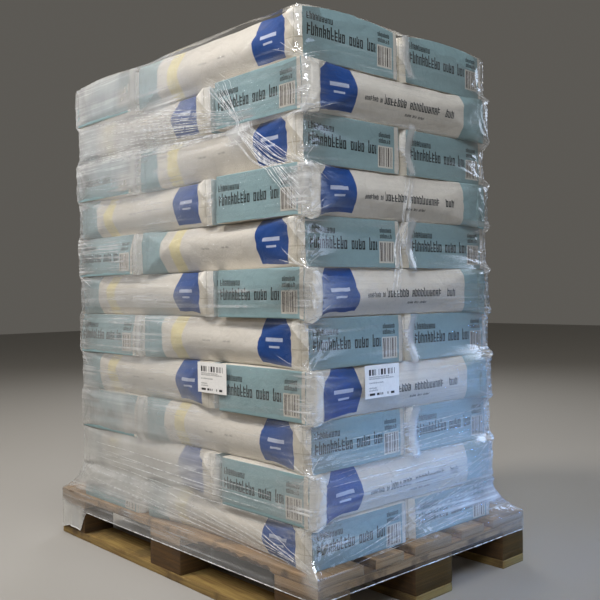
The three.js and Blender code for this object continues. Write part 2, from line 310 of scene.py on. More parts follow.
def text_stand_in(tree, along, up, start, length, foot, height, pitch, gaps, seed):
    """Stand-in for a line of print. Each cell, pitch wide, holds an upright stroke, sometimes a taller one, and by
    chance a second upright and short level strokes at the top, foot and middle. Cells at the gaps stay empty."""
    cell = add(tree, "Math", along, pitch, operation="DIVIDE")
    number = add(tree, "Math", cell, operation="FLOOR")
    inside = add(tree, "Math", cell, operation="FRACT")
    rise = add(tree, "MapRange", up, foot, foot + height, clamp=False)
    chance = add(tree, "TexWhiteNoise", W=add(tree, "Math", number, seed), out="Color", **CELL_NOISE)
    red, green, blue = add(tree, "SeparateColor", chance, out=slice(3))
    tall = add(tree, "MapRange", red, 0.0, 1.0, 1.0, TALL_STROKE, Steps=2.0, interpolation_type="STEPPED")
    first = times(tree, band(tree, inside, *FIRST_STROKE, 0.03), add(tree, "Math", rise, tall, **BELOW))
    second = times(tree, band(tree, inside, *SECOND_STROKE, 0.03), add(tree, "Math", green, 0.72, **BELOW),
                   add(tree, "Math", rise, 1.0, **BELOW))
    bars = [times(tree, band(tree, rise, *stroke, 0.02), add(tree, "Math", draw, limit, **side))
            for stroke, draw, limit, side in ((TOP_STROKE, blue, 0.6, BELOW), (FOOT_STROKE, blue, 0.35, ABOVE),
                                              (MIDDLE_STROKE, green, 0.5, ABOVE))]
    level = times(tree, band(tree, inside, *BOTH_STROKES, 0.03), most(tree, *bars))
    offsets = [add(tree, "Math", number, float(round(gap / pitch)), operation="SUBTRACT") for gap in gaps]
    filled = [add(tree, "Math", add(tree, "Math", offset, operation="ABSOLUTE"), 0.5, **ABOVE) for offset in offsets]
    return times(tree, most(tree, first, second, level), add(tree, "Math", rise, 0.0, **ABOVE),
                 band(tree, along, start, start + length), *filled)


def text_lines(tree, along, up, lines):
    """All the lines of print of a table as one mask."""
    return most(tree, *[text_stand_in(tree, along, up, *line) for line in lines])


def bar_code(tree, across, up, left, right, low, high, pitch):
    """Upright bars of uneven width: cells that a random number per cell leaves dark."""
    number = add(tree, "Math", add(tree, "Math", across, pitch, operation="DIVIDE"), operation="FLOOR")
    random = add(tree, "TexWhiteNoise", W=number, **CELL_NOISE)
    return times(tree, add(tree, "Math", random, PALE_BARS, **ABOVE), band(tree, across, left, right, 0.3 * MM),
                 band(tree, up, low, high, 0.3 * MM))


def paper_surface(tree, colour):
    """Sack paper: two plies of bleached kraft, matt, faintly mottled by its fibres and creased by handling, with a
    little painted shade darkening the creases. The mottle is about 3 mm wide, the creases 15 to 60 mm apart."""
    place = add(tree, "TexCoord", out="Object")
    fibres = add(tree, "TexNoise", place, Scale=320.0, Detail=3.0, Roughness=0.6)
    tone = add(tree, "MapRange", fibres, 0.3, 0.7, 0.93, 1.04)
    shifted = add(tree, "TexNoise", place, Scale=9.0, Detail=2.0, out="Color")
    bent = add(tree, "VectorMath", shifted, (0.05, 0.05, 0.05), place, **SCALED_SUM)
    facets = add(tree, "TexVoronoi", bent, Scale=24.0, feature="DISTANCE_TO_EDGE", out="Distance")
    crease = add(tree, "MapRange", facets, 0.0, 0.16, **EASED)
    soft = add(tree, "TexNoise", place, Scale=40.0, Detail=5.0, Roughness=0.6, Distortion=0.8)
    # Painted shade: the paper is made 3 % darker along the creases; the fibre mottle is its own tone
    mottle_and_crease_shade = times(tree, tone, add(tree, "MapRange", crease, To_Min=0.97, To_Max=1.0))
    toned = add(tree, "Mix", 1.0, *[None] * 5, colour, mottle_and_crease_shade, data_type="RGBA", blend_type="MULTIPLY", out=2)
    height = add(tree, "Math", crease, 0.18, soft, **SCALED_SUM)
    bump = add(tree, "Bump", Strength=0.55, Distance=2.4 * MM, Height=height)
    paper = add(tree, "BsdfPrincipled", Base_Color=toned, Roughness=0.58, Normal=bump, Specular_IOR_Level=0.3)
    add(tree, "OutputMaterial", paper)


def side_paper():
    """Printed bleached kraft, the sack's sides and large faces: a plain blue panel near one end with two pale bars,
    a pale teal band at the other, a faint yellow stripe on one side and lines of print stand-in on the other. A
    corner of the end fold lies over the panel and shows the white back of the paper."""
    material, tree = new_material("printed_kraft_sides")
    along, up = add(tree, "SeparateXYZ", add(tree, "UVMap", uv_map="lay"), out=slice(2))
    right = add(tree, "Attribute", attribute_name="right_side", out="Fac")
    left = add(tree, "Math", 1.0, right, operation="SUBTRACT")
    flap = add(tree, "Math", up, -FLAP_SLOPE, along, **SCALED_SUM)
    panel = times(tree, band(tree, along, PANEL_START, PANEL_START + PANEL_LENGTH, 0.6 * MM),
                  band(tree, up, *PANEL_HEIGHT, 0.6 * MM),
                  add(tree, "Math", flap, FLAP_REACH - FLAP_SLOPE * FLAP_TOP, **ABOVE))
    bars = most(tree, *[times(tree, band(tree, along, PANEL_START + start, PANEL_START + end),
                              band(tree, up, low, high)) for start, end, low, high in PANEL_BARS])
    tint = add(tree, "MapRange", along, TINT_START, TINT_START + 2 * MM, **EASED)
    stripe = times(tree, band(tree, along, *STRIPE, 3 * MM), most(tree, left, add(tree, "Math", up, 0.09, **ABOVE)))
    ink = most(tree, times(tree, right, text_lines(tree, along, up, SIDE_TEXT)),
               times(tree, left, text_lines(tree, along, up, SIDE_MARKS), 0.5))
    leaf = add(tree, "Math", along, -1.3, up, **SCALED_SUM)
    # Painted shade: dark lines on the left side's strip along the end fold's creases, one level just below mid-height
    # and one upright 16 mm from the end
    painted_fold_lines = most(tree, band(tree, up, -0.0125, -0.0105), band(tree, along, 0.0155, 0.0175, 0.6 * MM))
    strip = lay_over(tree, FOLD_WHITE, (times(tree, left, add(tree, "Math", leaf, -0.012, **BELOW)), FOLD_BEIGE),
                     (times(tree, left, painted_fold_lines, 0.5), PAINTED_FOLD_SHADE))
    paper_surface(tree, lay_over(
        tree, PAPER_WHITE, (tint, PATCH_TEAL), (add(tree, "Math", along, STRIP_DEPTH, **BELOW), strip),
        (stripe, BAND_YELLOW), (ink, INK_DARK), (panel, PANEL_BLUE), (times(tree, panel, bars, 0.75), PANEL_PALE)))
    return material


def end_paper():
    """Pasted end patch of the sack: the same kraft, printed pale teal, with lines of print stand-in and a bar box."""
    material, tree = new_material("printed_kraft_ends")
    across, up = add(tree, "SeparateXYZ", add(tree, "UVMap", uv_map="lay"), out=slice(2))
    left, right, low, high = END_CODE_BOX
    paper_surface(tree, lay_over(
        tree, PAPER_WHITE, (add(tree, "Math", across, PATCH_END, **BELOW), PATCH_TEAL),
        (text_lines(tree, across, up, END_TEXT), INK_DARK),
        (times(tree, band(tree, across, left, right), band(tree, up, low, high)), "#cbc7bc"),
        (bar_code(tree, across, up, *END_CODE), "#4c3f3c")))
    return material


def label_paper(name):
    """White thermal label paper with a plain bar row, bars for its lines of print and a dotted row at the foot."""
    material, tree = new_material(name)
    across, up = add(tree, "SeparateXYZ", add(tree, "UVMap", uv_map="lay"), out=slice(2))
    bars = most(tree, bar_code(tree, across, up, *LABEL_CODE), bar_code(tree, across, up, *LABEL_DOTS))
    lines = times(tree, text_lines(tree, across, up, LABEL_TEXT), 0.7)
    paper_surface(tree, lay_over(tree, "#eceae6", (lines, "#333333"), (bars, "#262626")))
    return material


def clear_film():
    """Several turns of clear polyethylene stretch film on one another: where it lies flat it has no colour and only
    mirrors, so there its metallic value is 1 and its alpha small; it is milky in streaks along the winding where turns
    overlap, and white on its creases, partly from the crumpled film and partly as painted highlight. The streaks are
    2 to 10 mm wide and some 0.4 m long, the creases 4 to 15 mm."""
    material, tree = new_material("clear_stretch_film")
    place = add(tree, "TexCoord", out="Object")
    milk, veil, crinkle = (add(tree, "Attribute", attribute_name=kind, out="Fac")
                           for kind in ("milk", "veil", "crinkle"))
    drawn = add(tree, "Mapping", place, Rotation=(0.03, 0.04, 0), Scale=(2.4, 2.4, 110.0))
    streaks = add(tree, "TexNoise", drawn, Scale=1.0, Detail=6.0, Roughness=0.68)
    streak = add(tree, "MapRange", streaks, 0.46, 0.68, **EASED)
    cloud = add(tree, "TexNoise", place, Scale=6.0, Detail=4.0)
    patch = add(tree, "MapRange", cloud, 0.35, 0.65, 0.15, 1.4)
    folded = add(tree, "Mapping", place, Scale=(38.0, 38.0, 60.0))
    creases = add(tree, "TexNoise", folded, Scale=1.0, Detail=3.0, Roughness=0.55, Distortion=0.9, **CREASED)
    crease = add(tree, "MapRange", creases, 0.9, 1.5, **EASED)

    # Milky streaks, fewer under an even veil, and the white of the creases, which is partly painted highlight
    streaky = add(tree, "MapRange", veil, From_Max=0.55, To_Min=0.8, To_Max=0.05)
    hazy = times(tree, milk, add(tree, "Math", streak, streaky, 0.07, **SCALED_SUM), patch)
    even = add(tree, "MapRange", patch, 0.15, 1.4, 0.8, 1.15)
    hazy = add(tree, "Math", veil, even, hazy, **SCALED_SUM)
    # Partly painted highlight: creases are whitened where the crinkles would glint, besides the crumpled film's own
    # white
    crease_white_and_glint = times(tree, crease, crinkle, 0.75)

    # Share that mirrors: little where it is seen straight on, more at a slant and on crinkles
    facing = add(tree, "LayerWeight", 0.4, out="Facing")
    mirror = add(tree, "MapRange", facing, 0.3, 1.0, 0.035, 0.42)
    mirror = add(tree, "Math", crinkle, 0.2, mirror, **SCALED_SUM)
    alpha = add(tree, "Math", add(tree, "Math", hazy, crease_white_and_glint), mirror, use_clamp=True)
    mirror_share = add(tree, "Math", mirror, alpha, operation="DIVIDE", use_clamp=True)

    small = add(tree, "Mapping", place, Scale=(130.0, 130.0, 170.0))
    facets = add(tree, "TexNoise", small, Scale=1.0, Detail=1.0, Distortion=0.6, **CREASED)
    strength = add(tree, "MapRange", crinkle, To_Min=0.12, To_Max=0.9)
    waves = add(tree, "TexNoise", add(tree, "Mapping", place, Scale=(7.0, 7.0, 34.0)), Scale=1.0, Detail=3.0)
    bump = add(tree, "Bump", Strength=strength, Distance=1.6 * MM, Height=creases)
    bump = add(tree, "Bump", Strength=0.5, Distance=2.5 * MM, Height=waves, Normal=bump)
    bump = add(tree, "Bump", Strength=times(tree, strength, 0.4), Distance=0.5 * MM, Height=facets, Normal=bump)
    gloss = add(tree, "MapRange", crinkle, To_Min=0.2, To_Max=0.11)
    colour = lay_over(tree, "#f1f2f2", (add(tree, "MapRange", veil, 0.1, 0.6), "#d3d3d0"))
    add(tree, "OutputMaterial", add(tree, "BsdfPrincipled", Base_Color=colour, Metallic=mirror_share, Roughness=gloss,
                                    Alpha=alpha, Normal=bump))
    return material


def drawn_film():
    """Film pulled into cords, thick enough to look white, with a gloss along each cord."""
    material, tree = new_material("film_drawn_into_cords")
    noise = add(tree, "TexNoise", add(tree, "TexCoord", out="Object"), Scale=70.0, Detail=2.0)
    alpha = add(tree, "MapRange", noise, 0.35, 0.65, 0.25, 0.85)
    add(tree, "OutputMaterial", add(tree, "BsdfPrincipled", Base_Color="#f4f5f5", Roughness=0.25, IOR=1.6, Alpha=alpha))
    return material


def sawn_wood(name, light, dark, dirt, dirt_share):
    """Rough-sawn spruce: growth lines some 8 mm apart and fibres 1 mm wide, both drawn out along the board, dark
    knots, grey dirt in patches, painted shade that darkens the upright faces in patches, darker sawn ends, and bare
    dark wood where an edge broke."""
    material, tree = new_material(name)
    lay = add(tree, "UVMap", uv_map="lay")
    broken, cut, side = (add(tree, "Attribute", attribute_name=kind, out="Fac")
                         for kind in ("broken", "sawn_end", "upright"))
    grain = add(tree, "TexNoise", add(tree, "Mapping", lay, Scale=(6.0, 130.0, 1.0)), Scale=1.0, Detail=5.0,
                Roughness=0.65, Distortion=0.8)
    cloud = add(tree, "TexNoise", lay, Scale=7.0, Detail=5.0, Roughness=0.6)
    fibre = add(tree, "TexNoise", add(tree, "Mapping", lay, Scale=(40.0, 900.0, 1.0)), Scale=1.0, Detail=3.0)
    knot = add(tree, "TexVoronoi", add(tree, "Mapping", lay, Scale=(3.5, 12.0, 1.0)), Scale=1.0, out="Distance")
    dirty = add(tree, "MapRange", cloud, 0.48, 0.66, To_Max=dirt_share, **EASED)
    # Painted shade: the upright faces are darkened towards the broken-wood colour, following the patches of the dirt
    upright_shade_patches = add(tree, "MapRange", dirty, To_Min=0.35, To_Max=1.1)
    ragged = add(tree, "Math", grain, 1.6, add(tree, "Math", broken, 1.1, operation="SUBTRACT"), **SCALED_SUM)
    colour = lay_over(
        tree, dark, (add(tree, "MapRange", grain, 0.36, 0.64), light), (dirty, dirt),
        (add(tree, "MapRange", knot, 0.05, 0.12, 0.75, 0.0, **EASED), dark), (times(tree, cut, 0.35), dirt),
        (times(tree, side, upright_shade_patches, UPRIGHT_PAINTED_SHADE), BROKEN_WOOD_AND_SHADE),
        (add(tree, "MapRange", ragged, 0.2, 0.45, To_Max=0.9, **EASED), BROKEN_WOOD_AND_SHADE))
    bump = add(tree, "Bump", Strength=0.8, Distance=1.2 * MM, Height=add(tree, "Math", grain, fibre))
    add(tree, "OutputMaterial", add(tree, "BsdfPrincipled", Base_Color=colour, Roughness=0.78, Normal=bump))
    return material


def dull_steel():
    """Rusted wire nails: brown-grey steel, rough, with a dim sheen."""
    material, tree = new_material("rusted_nail_steel")
    spots = add(tree, "TexNoise", add(tree, "TexCoord", out="Object"), Scale=600.0, Detail=3.0)
    colour = lay_over(tree, "#5a4a40", (spots, "#3d322c"))
    add(tree, "OutputMaterial", add(tree, "BsdfPrincipled", Base_Color=colour, Metallic=0.6, Roughness=0.55))
    return material


# Sacks

def soft_noise(rng, along, around, waves, longest, shortest):
    """Sum of waves of random direction and length between longest and shortest, scaled to stay within 1."""
    total = np.zeros(np.broadcast(along, around).shape)
    for _ in range(waves):
        angle = rng.uniform(0, math.tau)
        length = rng.uniform(shortest, longest)
        phase = rng.uniform(0, math.tau)
        total += np.sin(math.tau * (along * math.cos(angle) + around * math.sin(angle)) / length + phase)
    return total / waves ** 0.5 / 1.6


def soft_least(values, softness):
    """Smooth minimum of arrays: minus softness times the log of the summed exponentials of minus value/softness."""
    stack = np.stack(np.broadcast_arrays(*values)) / -softness
    peak = stack.max(0)
    return -softness * (peak + np.log(np.exp(stack - peak).sum(0)))


def crumple(rng, a, b, count, spread, span, depth, width):
    """Shallow creases in paper: straight lines at random places and angles, each a V-shaped groove or ridge of the
    given depth and width that fades out over span. spread is the pair of ranges that the lines are scattered over."""
    total = np.zeros(np.broadcast(a, b).shape)
    for _ in range(count):
        centre = [rng.uniform(*r) for r in spread]
        turn = rng.uniform(0, math.pi)
        along = (a - centre[0]) * math.cos(turn) + (b - centre[1]) * math.sin(turn)
        off = (b - centre[1]) * math.cos(turn) - (a - centre[0]) * math.sin(turn)
        total += rng.choice((-1, 1)) * np.exp(-np.abs(off) / rng.uniform(0.5, 1.5) / width
                                              - (along / rng.uniform(0.4, 1.0) / span) ** 2)
    return depth * total


def sack_side(rng, s, share_up, length, half_width, height):
    """How far one long side stands out at station s and at share_up of its height, which may vary along s.

    The side of a block-bottomed sack is folded paper, so it is the smooth minimum of a few sheets: an upper and a
    lower facet that lean in from a ridge to the edges it is stacked on, an upright sheet that presses the ridge
    flat, and at each end a narrow corner facet and an upright one that starts at the full height of the ear and
    narrows to the ridge, which leaves slanting creases."""
    z = share_up * height
    ridge = height * (rng.uniform(*RIDGE_SHARE) + rng.uniform(-RIDGE_TILT, RIDGE_TILT) * (s / length - 0.5) * 2)
    reach_near, reach_far = (rng.uniform(*r) for r in FOLD_REACH)
    draw_near, draw_far = (rng.uniform(*r) * MM for r in FOLD_DRAW)
    inset_top, inset_low = (rng.uniform(*r) * MM for r in EDGE_INSET)
    curve = rng.uniform(1.0, 1.25)
    from_far = length - s
    open_near, open_far = np.clip(s / reach_near, 0, 1), np.clip(from_far / reach_far, 0, 1)
    opened = smooth(np.minimum(open_near, open_far))
    ends = half_width - draw_near * (1 - open_near) - draw_far * (1 - open_far)
    swell = half_width + 3.5 * MM
    sheets = [half_width - draw_near * (1 - s / reach_near), half_width - draw_far * (1 - from_far / reach_far),
              swell - rng.uniform(0, 7) * MM * opened]
    for cut, run in ((rng.uniform(*CORNER_CUT), s), (rng.uniform(*CORNER_CUT), from_far)):
        sheets.append(half_width - draw_near - cut * (1 - run / CORNER_RUN))
    for inset, share in ((inset_top, np.clip((height - z) / (height - ridge), 0, 1)),
                         (inset_low, np.clip(z / ridge, 0, 1))):
        edge = ends - inset * opened
        sheets.append(edge + (swell - edge) * (1 - (1 - share) ** curve) + inset * (1 - opened) * share)
    out = soft_least(sheets, 1.1 * MM)
    return out + 1.4 * MM * soft_noise(rng, s, z, 8, 0.30, 0.06) * smooth(np.minimum(s, from_far) / 0.1)


def side_creases(rng, s, z, length, height):
    """What handling and folding add to a side: the doubled paper of the end folds with a crease along it, a corner
    of the fold lying over the side, long slanting creases from the ends and small crumples, denser by the ends."""
    from_far = length - s
    from_end = np.minimum(s, from_far)
    out = 2.0 * MM * (1 - smooth((from_end - STRIP_DEPTH) / (1.5 * MM) + 0.5)) + 0 * z
    out -= 2.2 * MM * np.exp(-np.abs(from_end - CORNER_RUN) / (2.5 * MM))
    flap = s + FLAP_SLOPE * (height - z) - FLAP_REACH
    out += 1.8 * MM * (1 - smooth(flap / (2.5 * MM) + 0.5)) * smooth((s - 18 * MM) / (4 * MM))
    for _ in range(6):
        near = rng.random() < 0.6
        run = s if near else from_far
        foot, slant = rng.uniform(0.03, 0.10), rng.uniform(0.25, 1.1) * rng.choice((-1, 1))
        level = (0.95 if slant < 0 else 0.05) * height
        off = z - level - slant * (run - foot)
        fade = smooth((run - foot) / 0.03) * (1 - smooth((run - foot - 0.06) / 0.16))
        out += rng.choice((-1, 1)) * rng.uniform(2.0, 4.0) * MM * np.exp(-np.abs(off) / (6 * MM)) * fade
    out += crumple(rng, s, z, 26, ((0, length), (0, LAYER_PITCH)), 60 * MM, 1.9 * MM, 6 * MM)
    for low, high in ((0, 0.07), (length - 0.10, length)):
        out += crumple(rng, s, z, 30, ((low, high), (0, LAYER_PITCH)), 22 * MM, 2.4 * MM, 3.2 * MM)
    return out


def make_sack(name, sides, ends):
    """One filled, block-bottomed paper sack in the place of its CAD solid.

    Stations run along its length from the printed end. Each section is two folded sides, and a top and a bottom
    that are flat where they rest and rounded into the sides. The end patches are rings that close on their
    middle: they bulge by a few millimetres, and their upper part leans in on some sacks. The sacks of the upper
    layer, which nothing presses on, are crowned."""
    low, high = (np.array(corner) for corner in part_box(name))
    number, place = name.split("_")[1:]
    layer, crosswise, upper = int(number), place == "cross", int(number) == LAYER_COUNT
    rng = np.random.default_rng(1000 + 7 * layer + SACK_PLACES.index(place))
    length, width, height = (high - low)[[1, 0, 2] if crosswise else [0, 1, 2]]

    s = length * crowded(STATIONS, 0.62)
    s = np.unique(np.round(np.concatenate([s, FOLD_LINES, length - np.array(FOLD_LINES)]), 6))[:, None]
    stations = len(s)
    from_end = np.minimum(s, length - s)
    edge_height = height + 0 * s
    if upper:
        edge_height = height * (0.82 + 0.08 * smooth(from_end / 0.16)
                                + 0.015 * soft_noise(rng, s, 0 * s, 4, 0.5, 0.15))
    rise = crowded(SIDE_STEPS, 1)[None]
    half_width = width / 2 - 1.2 * MM
    right, left = (sack_side(rng, s, rise, length, half_width, edge_height) for _ in range(2))
    side_z = rise * edge_height
    steps = TOP_STEPS if upper else FLAT_STEPS
    flat = crowded(steps + 2, 0.5)[None, 1:-1]
    top_y = right[:, -1:] + (-left[:, -1:] - right[:, -1:]) * flat
    top_z = edge_height + 0 * top_y
    if upper:
        ramp = smooth(from_end / 0.20)
        crown = (1 - np.abs(2 * flat - 1) ** 2.3) * (0.09 + 0.055 * ramp) * height
        top_z = top_z + crown + ramp * soft_noise(rng, s, top_y, 14, 0.28, 0.07) * 2.2 * MM
        spread = ((0, length), (-width / 2, width / 2))
        top_z += crumple(rng, s, top_y, 34, spread, 100 * MM, 2.2 * MM, 7 * MM) * (crown > 0)
    low_y = -left[:, :1] + (right[:, :1] + left[:, :1]) * flat
    across = np.concatenate([right, top_y, -left[:, ::-1], low_y], 1)
    up = np.concatenate([side_z, top_z, side_z[:, ::-1], 0 * low_y], 1)
    count = across.shape[1]
    along = s + 0 * across

    # The edges that the paper is bent round are rounded off, but not at the folded ends.
    easing = smooth((from_end - 0.02) / 0.06)
    for _ in range(3):
        for values in (across, up):
            values += easing * (0.25 * np.roll(values, 1, 1) + 0.25 * np.roll(values, -1, 1) - 0.5 * values)
    held = np.sin(math.pi * np.clip(rise, 0.02, 0.98)) ** 0.4
    across[:, :SIDE_STEPS] += held * side_creases(rng, s, side_z, length, height)
    left_columns = slice(SIDE_STEPS + steps, 2 * SIDE_STEPS + steps)
    across[:, left_columns] -= (held * side_creases(rng, s, side_z, length, height))[:, ::-1]

    # The upper part of an end leans in, most on the printed ends of every other crosswise sack.
    lean_near = rng.uniform(0.16, 0.34) if crosswise and layer % 2 else rng.uniform(0.0, 0.07)
    lean_far = rng.uniform(0.0, 0.12)
    bend_at = rng.uniform(0.5, 0.66) * height
    fade = np.exp(-s / 0.05) * lean_near - np.exp(-(length - s) / 0.05) * lean_far
    along = along + fade * np.maximum(0, up - bend_at)

    # Distance round the section from mid-height, positive upward on both sides, for the print to follow.
    step = np.hypot(np.diff(across, axis=1), np.diff(up, axis=1))
    way = np.concatenate([0 * s, np.cumsum(step, 1)], 1)
    middle = SIDE_STEPS // 2
    other = count - 1 - steps - middle
    way = np.where(np.arange(count)[None] <= (middle + other) // 2, way - way[:, middle:middle + 1],
                   way[:, other:other + 1] - way)

    body = np.stack([along, across, up], -1)
    all_points, uvs = [body.reshape(-1, 3)], [np.stack([s + 0 * across, way], -1).reshape(-1, 2)]
    faces = [grid_faces(stations, count)]
    index = [np.zeros(len(faces[0]), int)]
    start = stations * count
    for station, sign in ((0, 1), (stations - 1, -1)):
        ring = body[station]
        centre = np.array([ring[:, 0].mean(), 0, height * (0.46 if upper else 0.5)])
        before = station * count + np.arange(count)
        dent, cap_seed = rng.uniform(-1.5, 4.0) * MM, int(rng.integers(1 << 30))
        for scale in CAP_RINGS:
            inner = centre + (ring - centre) * scale
            inner[:, 0] -= sign * ((1 - scale ** 2) * dent + 0.6 * MM)
            inner[:, 0] += crumple(np.random.default_rng(cap_seed), inner[:, 1], inner[:, 2], 26,
                                   ((-0.17, 0.17), (0, height)), 60 * MM, 1.1 * MM, 6 * MM)
            if not scale:
                inner = inner[:1]
            here = start + np.arange(len(inner))
            after = here if scale else np.repeat(here, count)
            quads = np.stack([before, after, np.roll(after, -1), np.roll(before, -1)], -1)
            faces.append(quads if sign > 0 else quads[:, ::-1])
            index.append(np.ones(count, int))
            all_points.append(inner)
            uvs.append(np.stack([inner[:, 1], inner[:, 2] - height / 2 + (0 if sign > 0 else 10)], -1))
            before, start = here, start + len(inner)
    points = np.concatenate(all_points)
    right_side = points[:, 1] > 0

    # Where a crosswise sack of an even layer stands out past the layer below, its corners sag
    if crosswise and layer % 2 == 0:
        past = smooth((points[:, 1] - width / 2 + OVERHANG) / OVERHANG)
        near_end = np.exp(-points[:, 0] / 0.07) + 0.7 * np.exp(-(length - points[:, 0]) / 0.07)
        points[:, 2] -= rng.uniform(13, 20) * MM * past * near_end * (1 - 0.5 * points[:, 2] / height)

    # Each sack lies a little askew
    skew = float(np.clip(rng.normal(0, 0.0028), -0.005, 0.005))
    points[:, 1] += skew * (points[:, 0] - length / 2)

    # From the sack's own axes to the pallet's: the printed end faces +X on a lengthwise sack, -Y on a crosswise one.
    x, y, z = points.T
    if crosswise:
        world = np.stack([(low[0] + high[0]) / 2 + y, low[1] + x, low[2] + z], -1)
    else:
        world = np.stack([high[0] - x, (low[1] + high[1]) / 2 + y, low[2] + z], -1)
    all_faces = [tuple(dict.fromkeys(f)) for quads in faces for f in quads.tolist()]
    piece = make_piece("paper_" + name, world, all_faces, np.concatenate(uvs), (sides, ends), np.concatenate(index),
                       slot="sack_paper", right_side=right_side)
    piece.data.set_sharp_from_angle(angle=math.radians(SHARP_EDGE))
    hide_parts(name)


# Film

def taut_reach(values, floors, tops, z, closeness):
    """Reach of taut film over layers that stand out by different amounts.

    Each layer holds the film out over its own height and less beyond it: value - slope x distance. The film is the
    smooth maximum of the layers. At a corner, where closeness is 1, it is drawn in between the ears at a slope of
    1.25; in the middle of a face it bridges from layer to layer at 0.35."""
    slope = 0.35 + 0.9 * closeness
    hold = (20 - 17 * closeness) * MM
    sheets = [slope * np.maximum(0, np.maximum(floor + hold - z, z - top + hold)) - value
              for value, floor, top in zip(values, floors, tops)]
    return -soft_least(sheets, 2 * MM)


def crease_fan(rng, across, up, spread, height, count):
    """Creases that radiate from a point: height x (r/R) e^(1 - r/R) x a saw of count ridges in the angle."""
    r, angle = np.hypot(across, up), np.arctan2(up, across)
    wander = 0.5 * np.sin(2 * angle + rng.uniform(0, 6)) + 0.4 * np.sin(r / (17 * MM) + rng.uniform(0, 6))
    saw = 1 - np.abs(np.sin(0.5 * count * angle + rng.uniform(0, 3) + wander))
    uneven = 0.65 + 0.35 * np.sin(3 * angle + rng.uniform(0, 6))
    return height * (r / spread) * np.exp(1 - r / spread) * (saw ** 1.4 - 0.3) * uneven


def away(film, centre):
    """Distance of each column from a place round the film, the shorter way, positive onwards."""
    return (film.u - centre + film.total / 2) % film.total - film.total / 2


def distance(film, side, along):
    """Distance round the film of a place along side 0 (+X), 1 (+Y), 2 (-X) or 3 (-Y)."""
    first = film.starts[2 * side]
    sign = -1 if side in (1, 2) else 1
    return float(np.interp(sign * along, film.along[side], film.u[first:first + FILM_COLUMNS[side % 2]]))


def ear(corner, layer):
    """Whether a layer (0 is the lowest) stands out at a corner, and on which side of it the end fold's strip lies."""
    stands_out = layer % 2 == (1 if corner in (0, 3) else 0)
    return stands_out, (1 if corner % 2 else -1) * (1 if stands_out else -1)


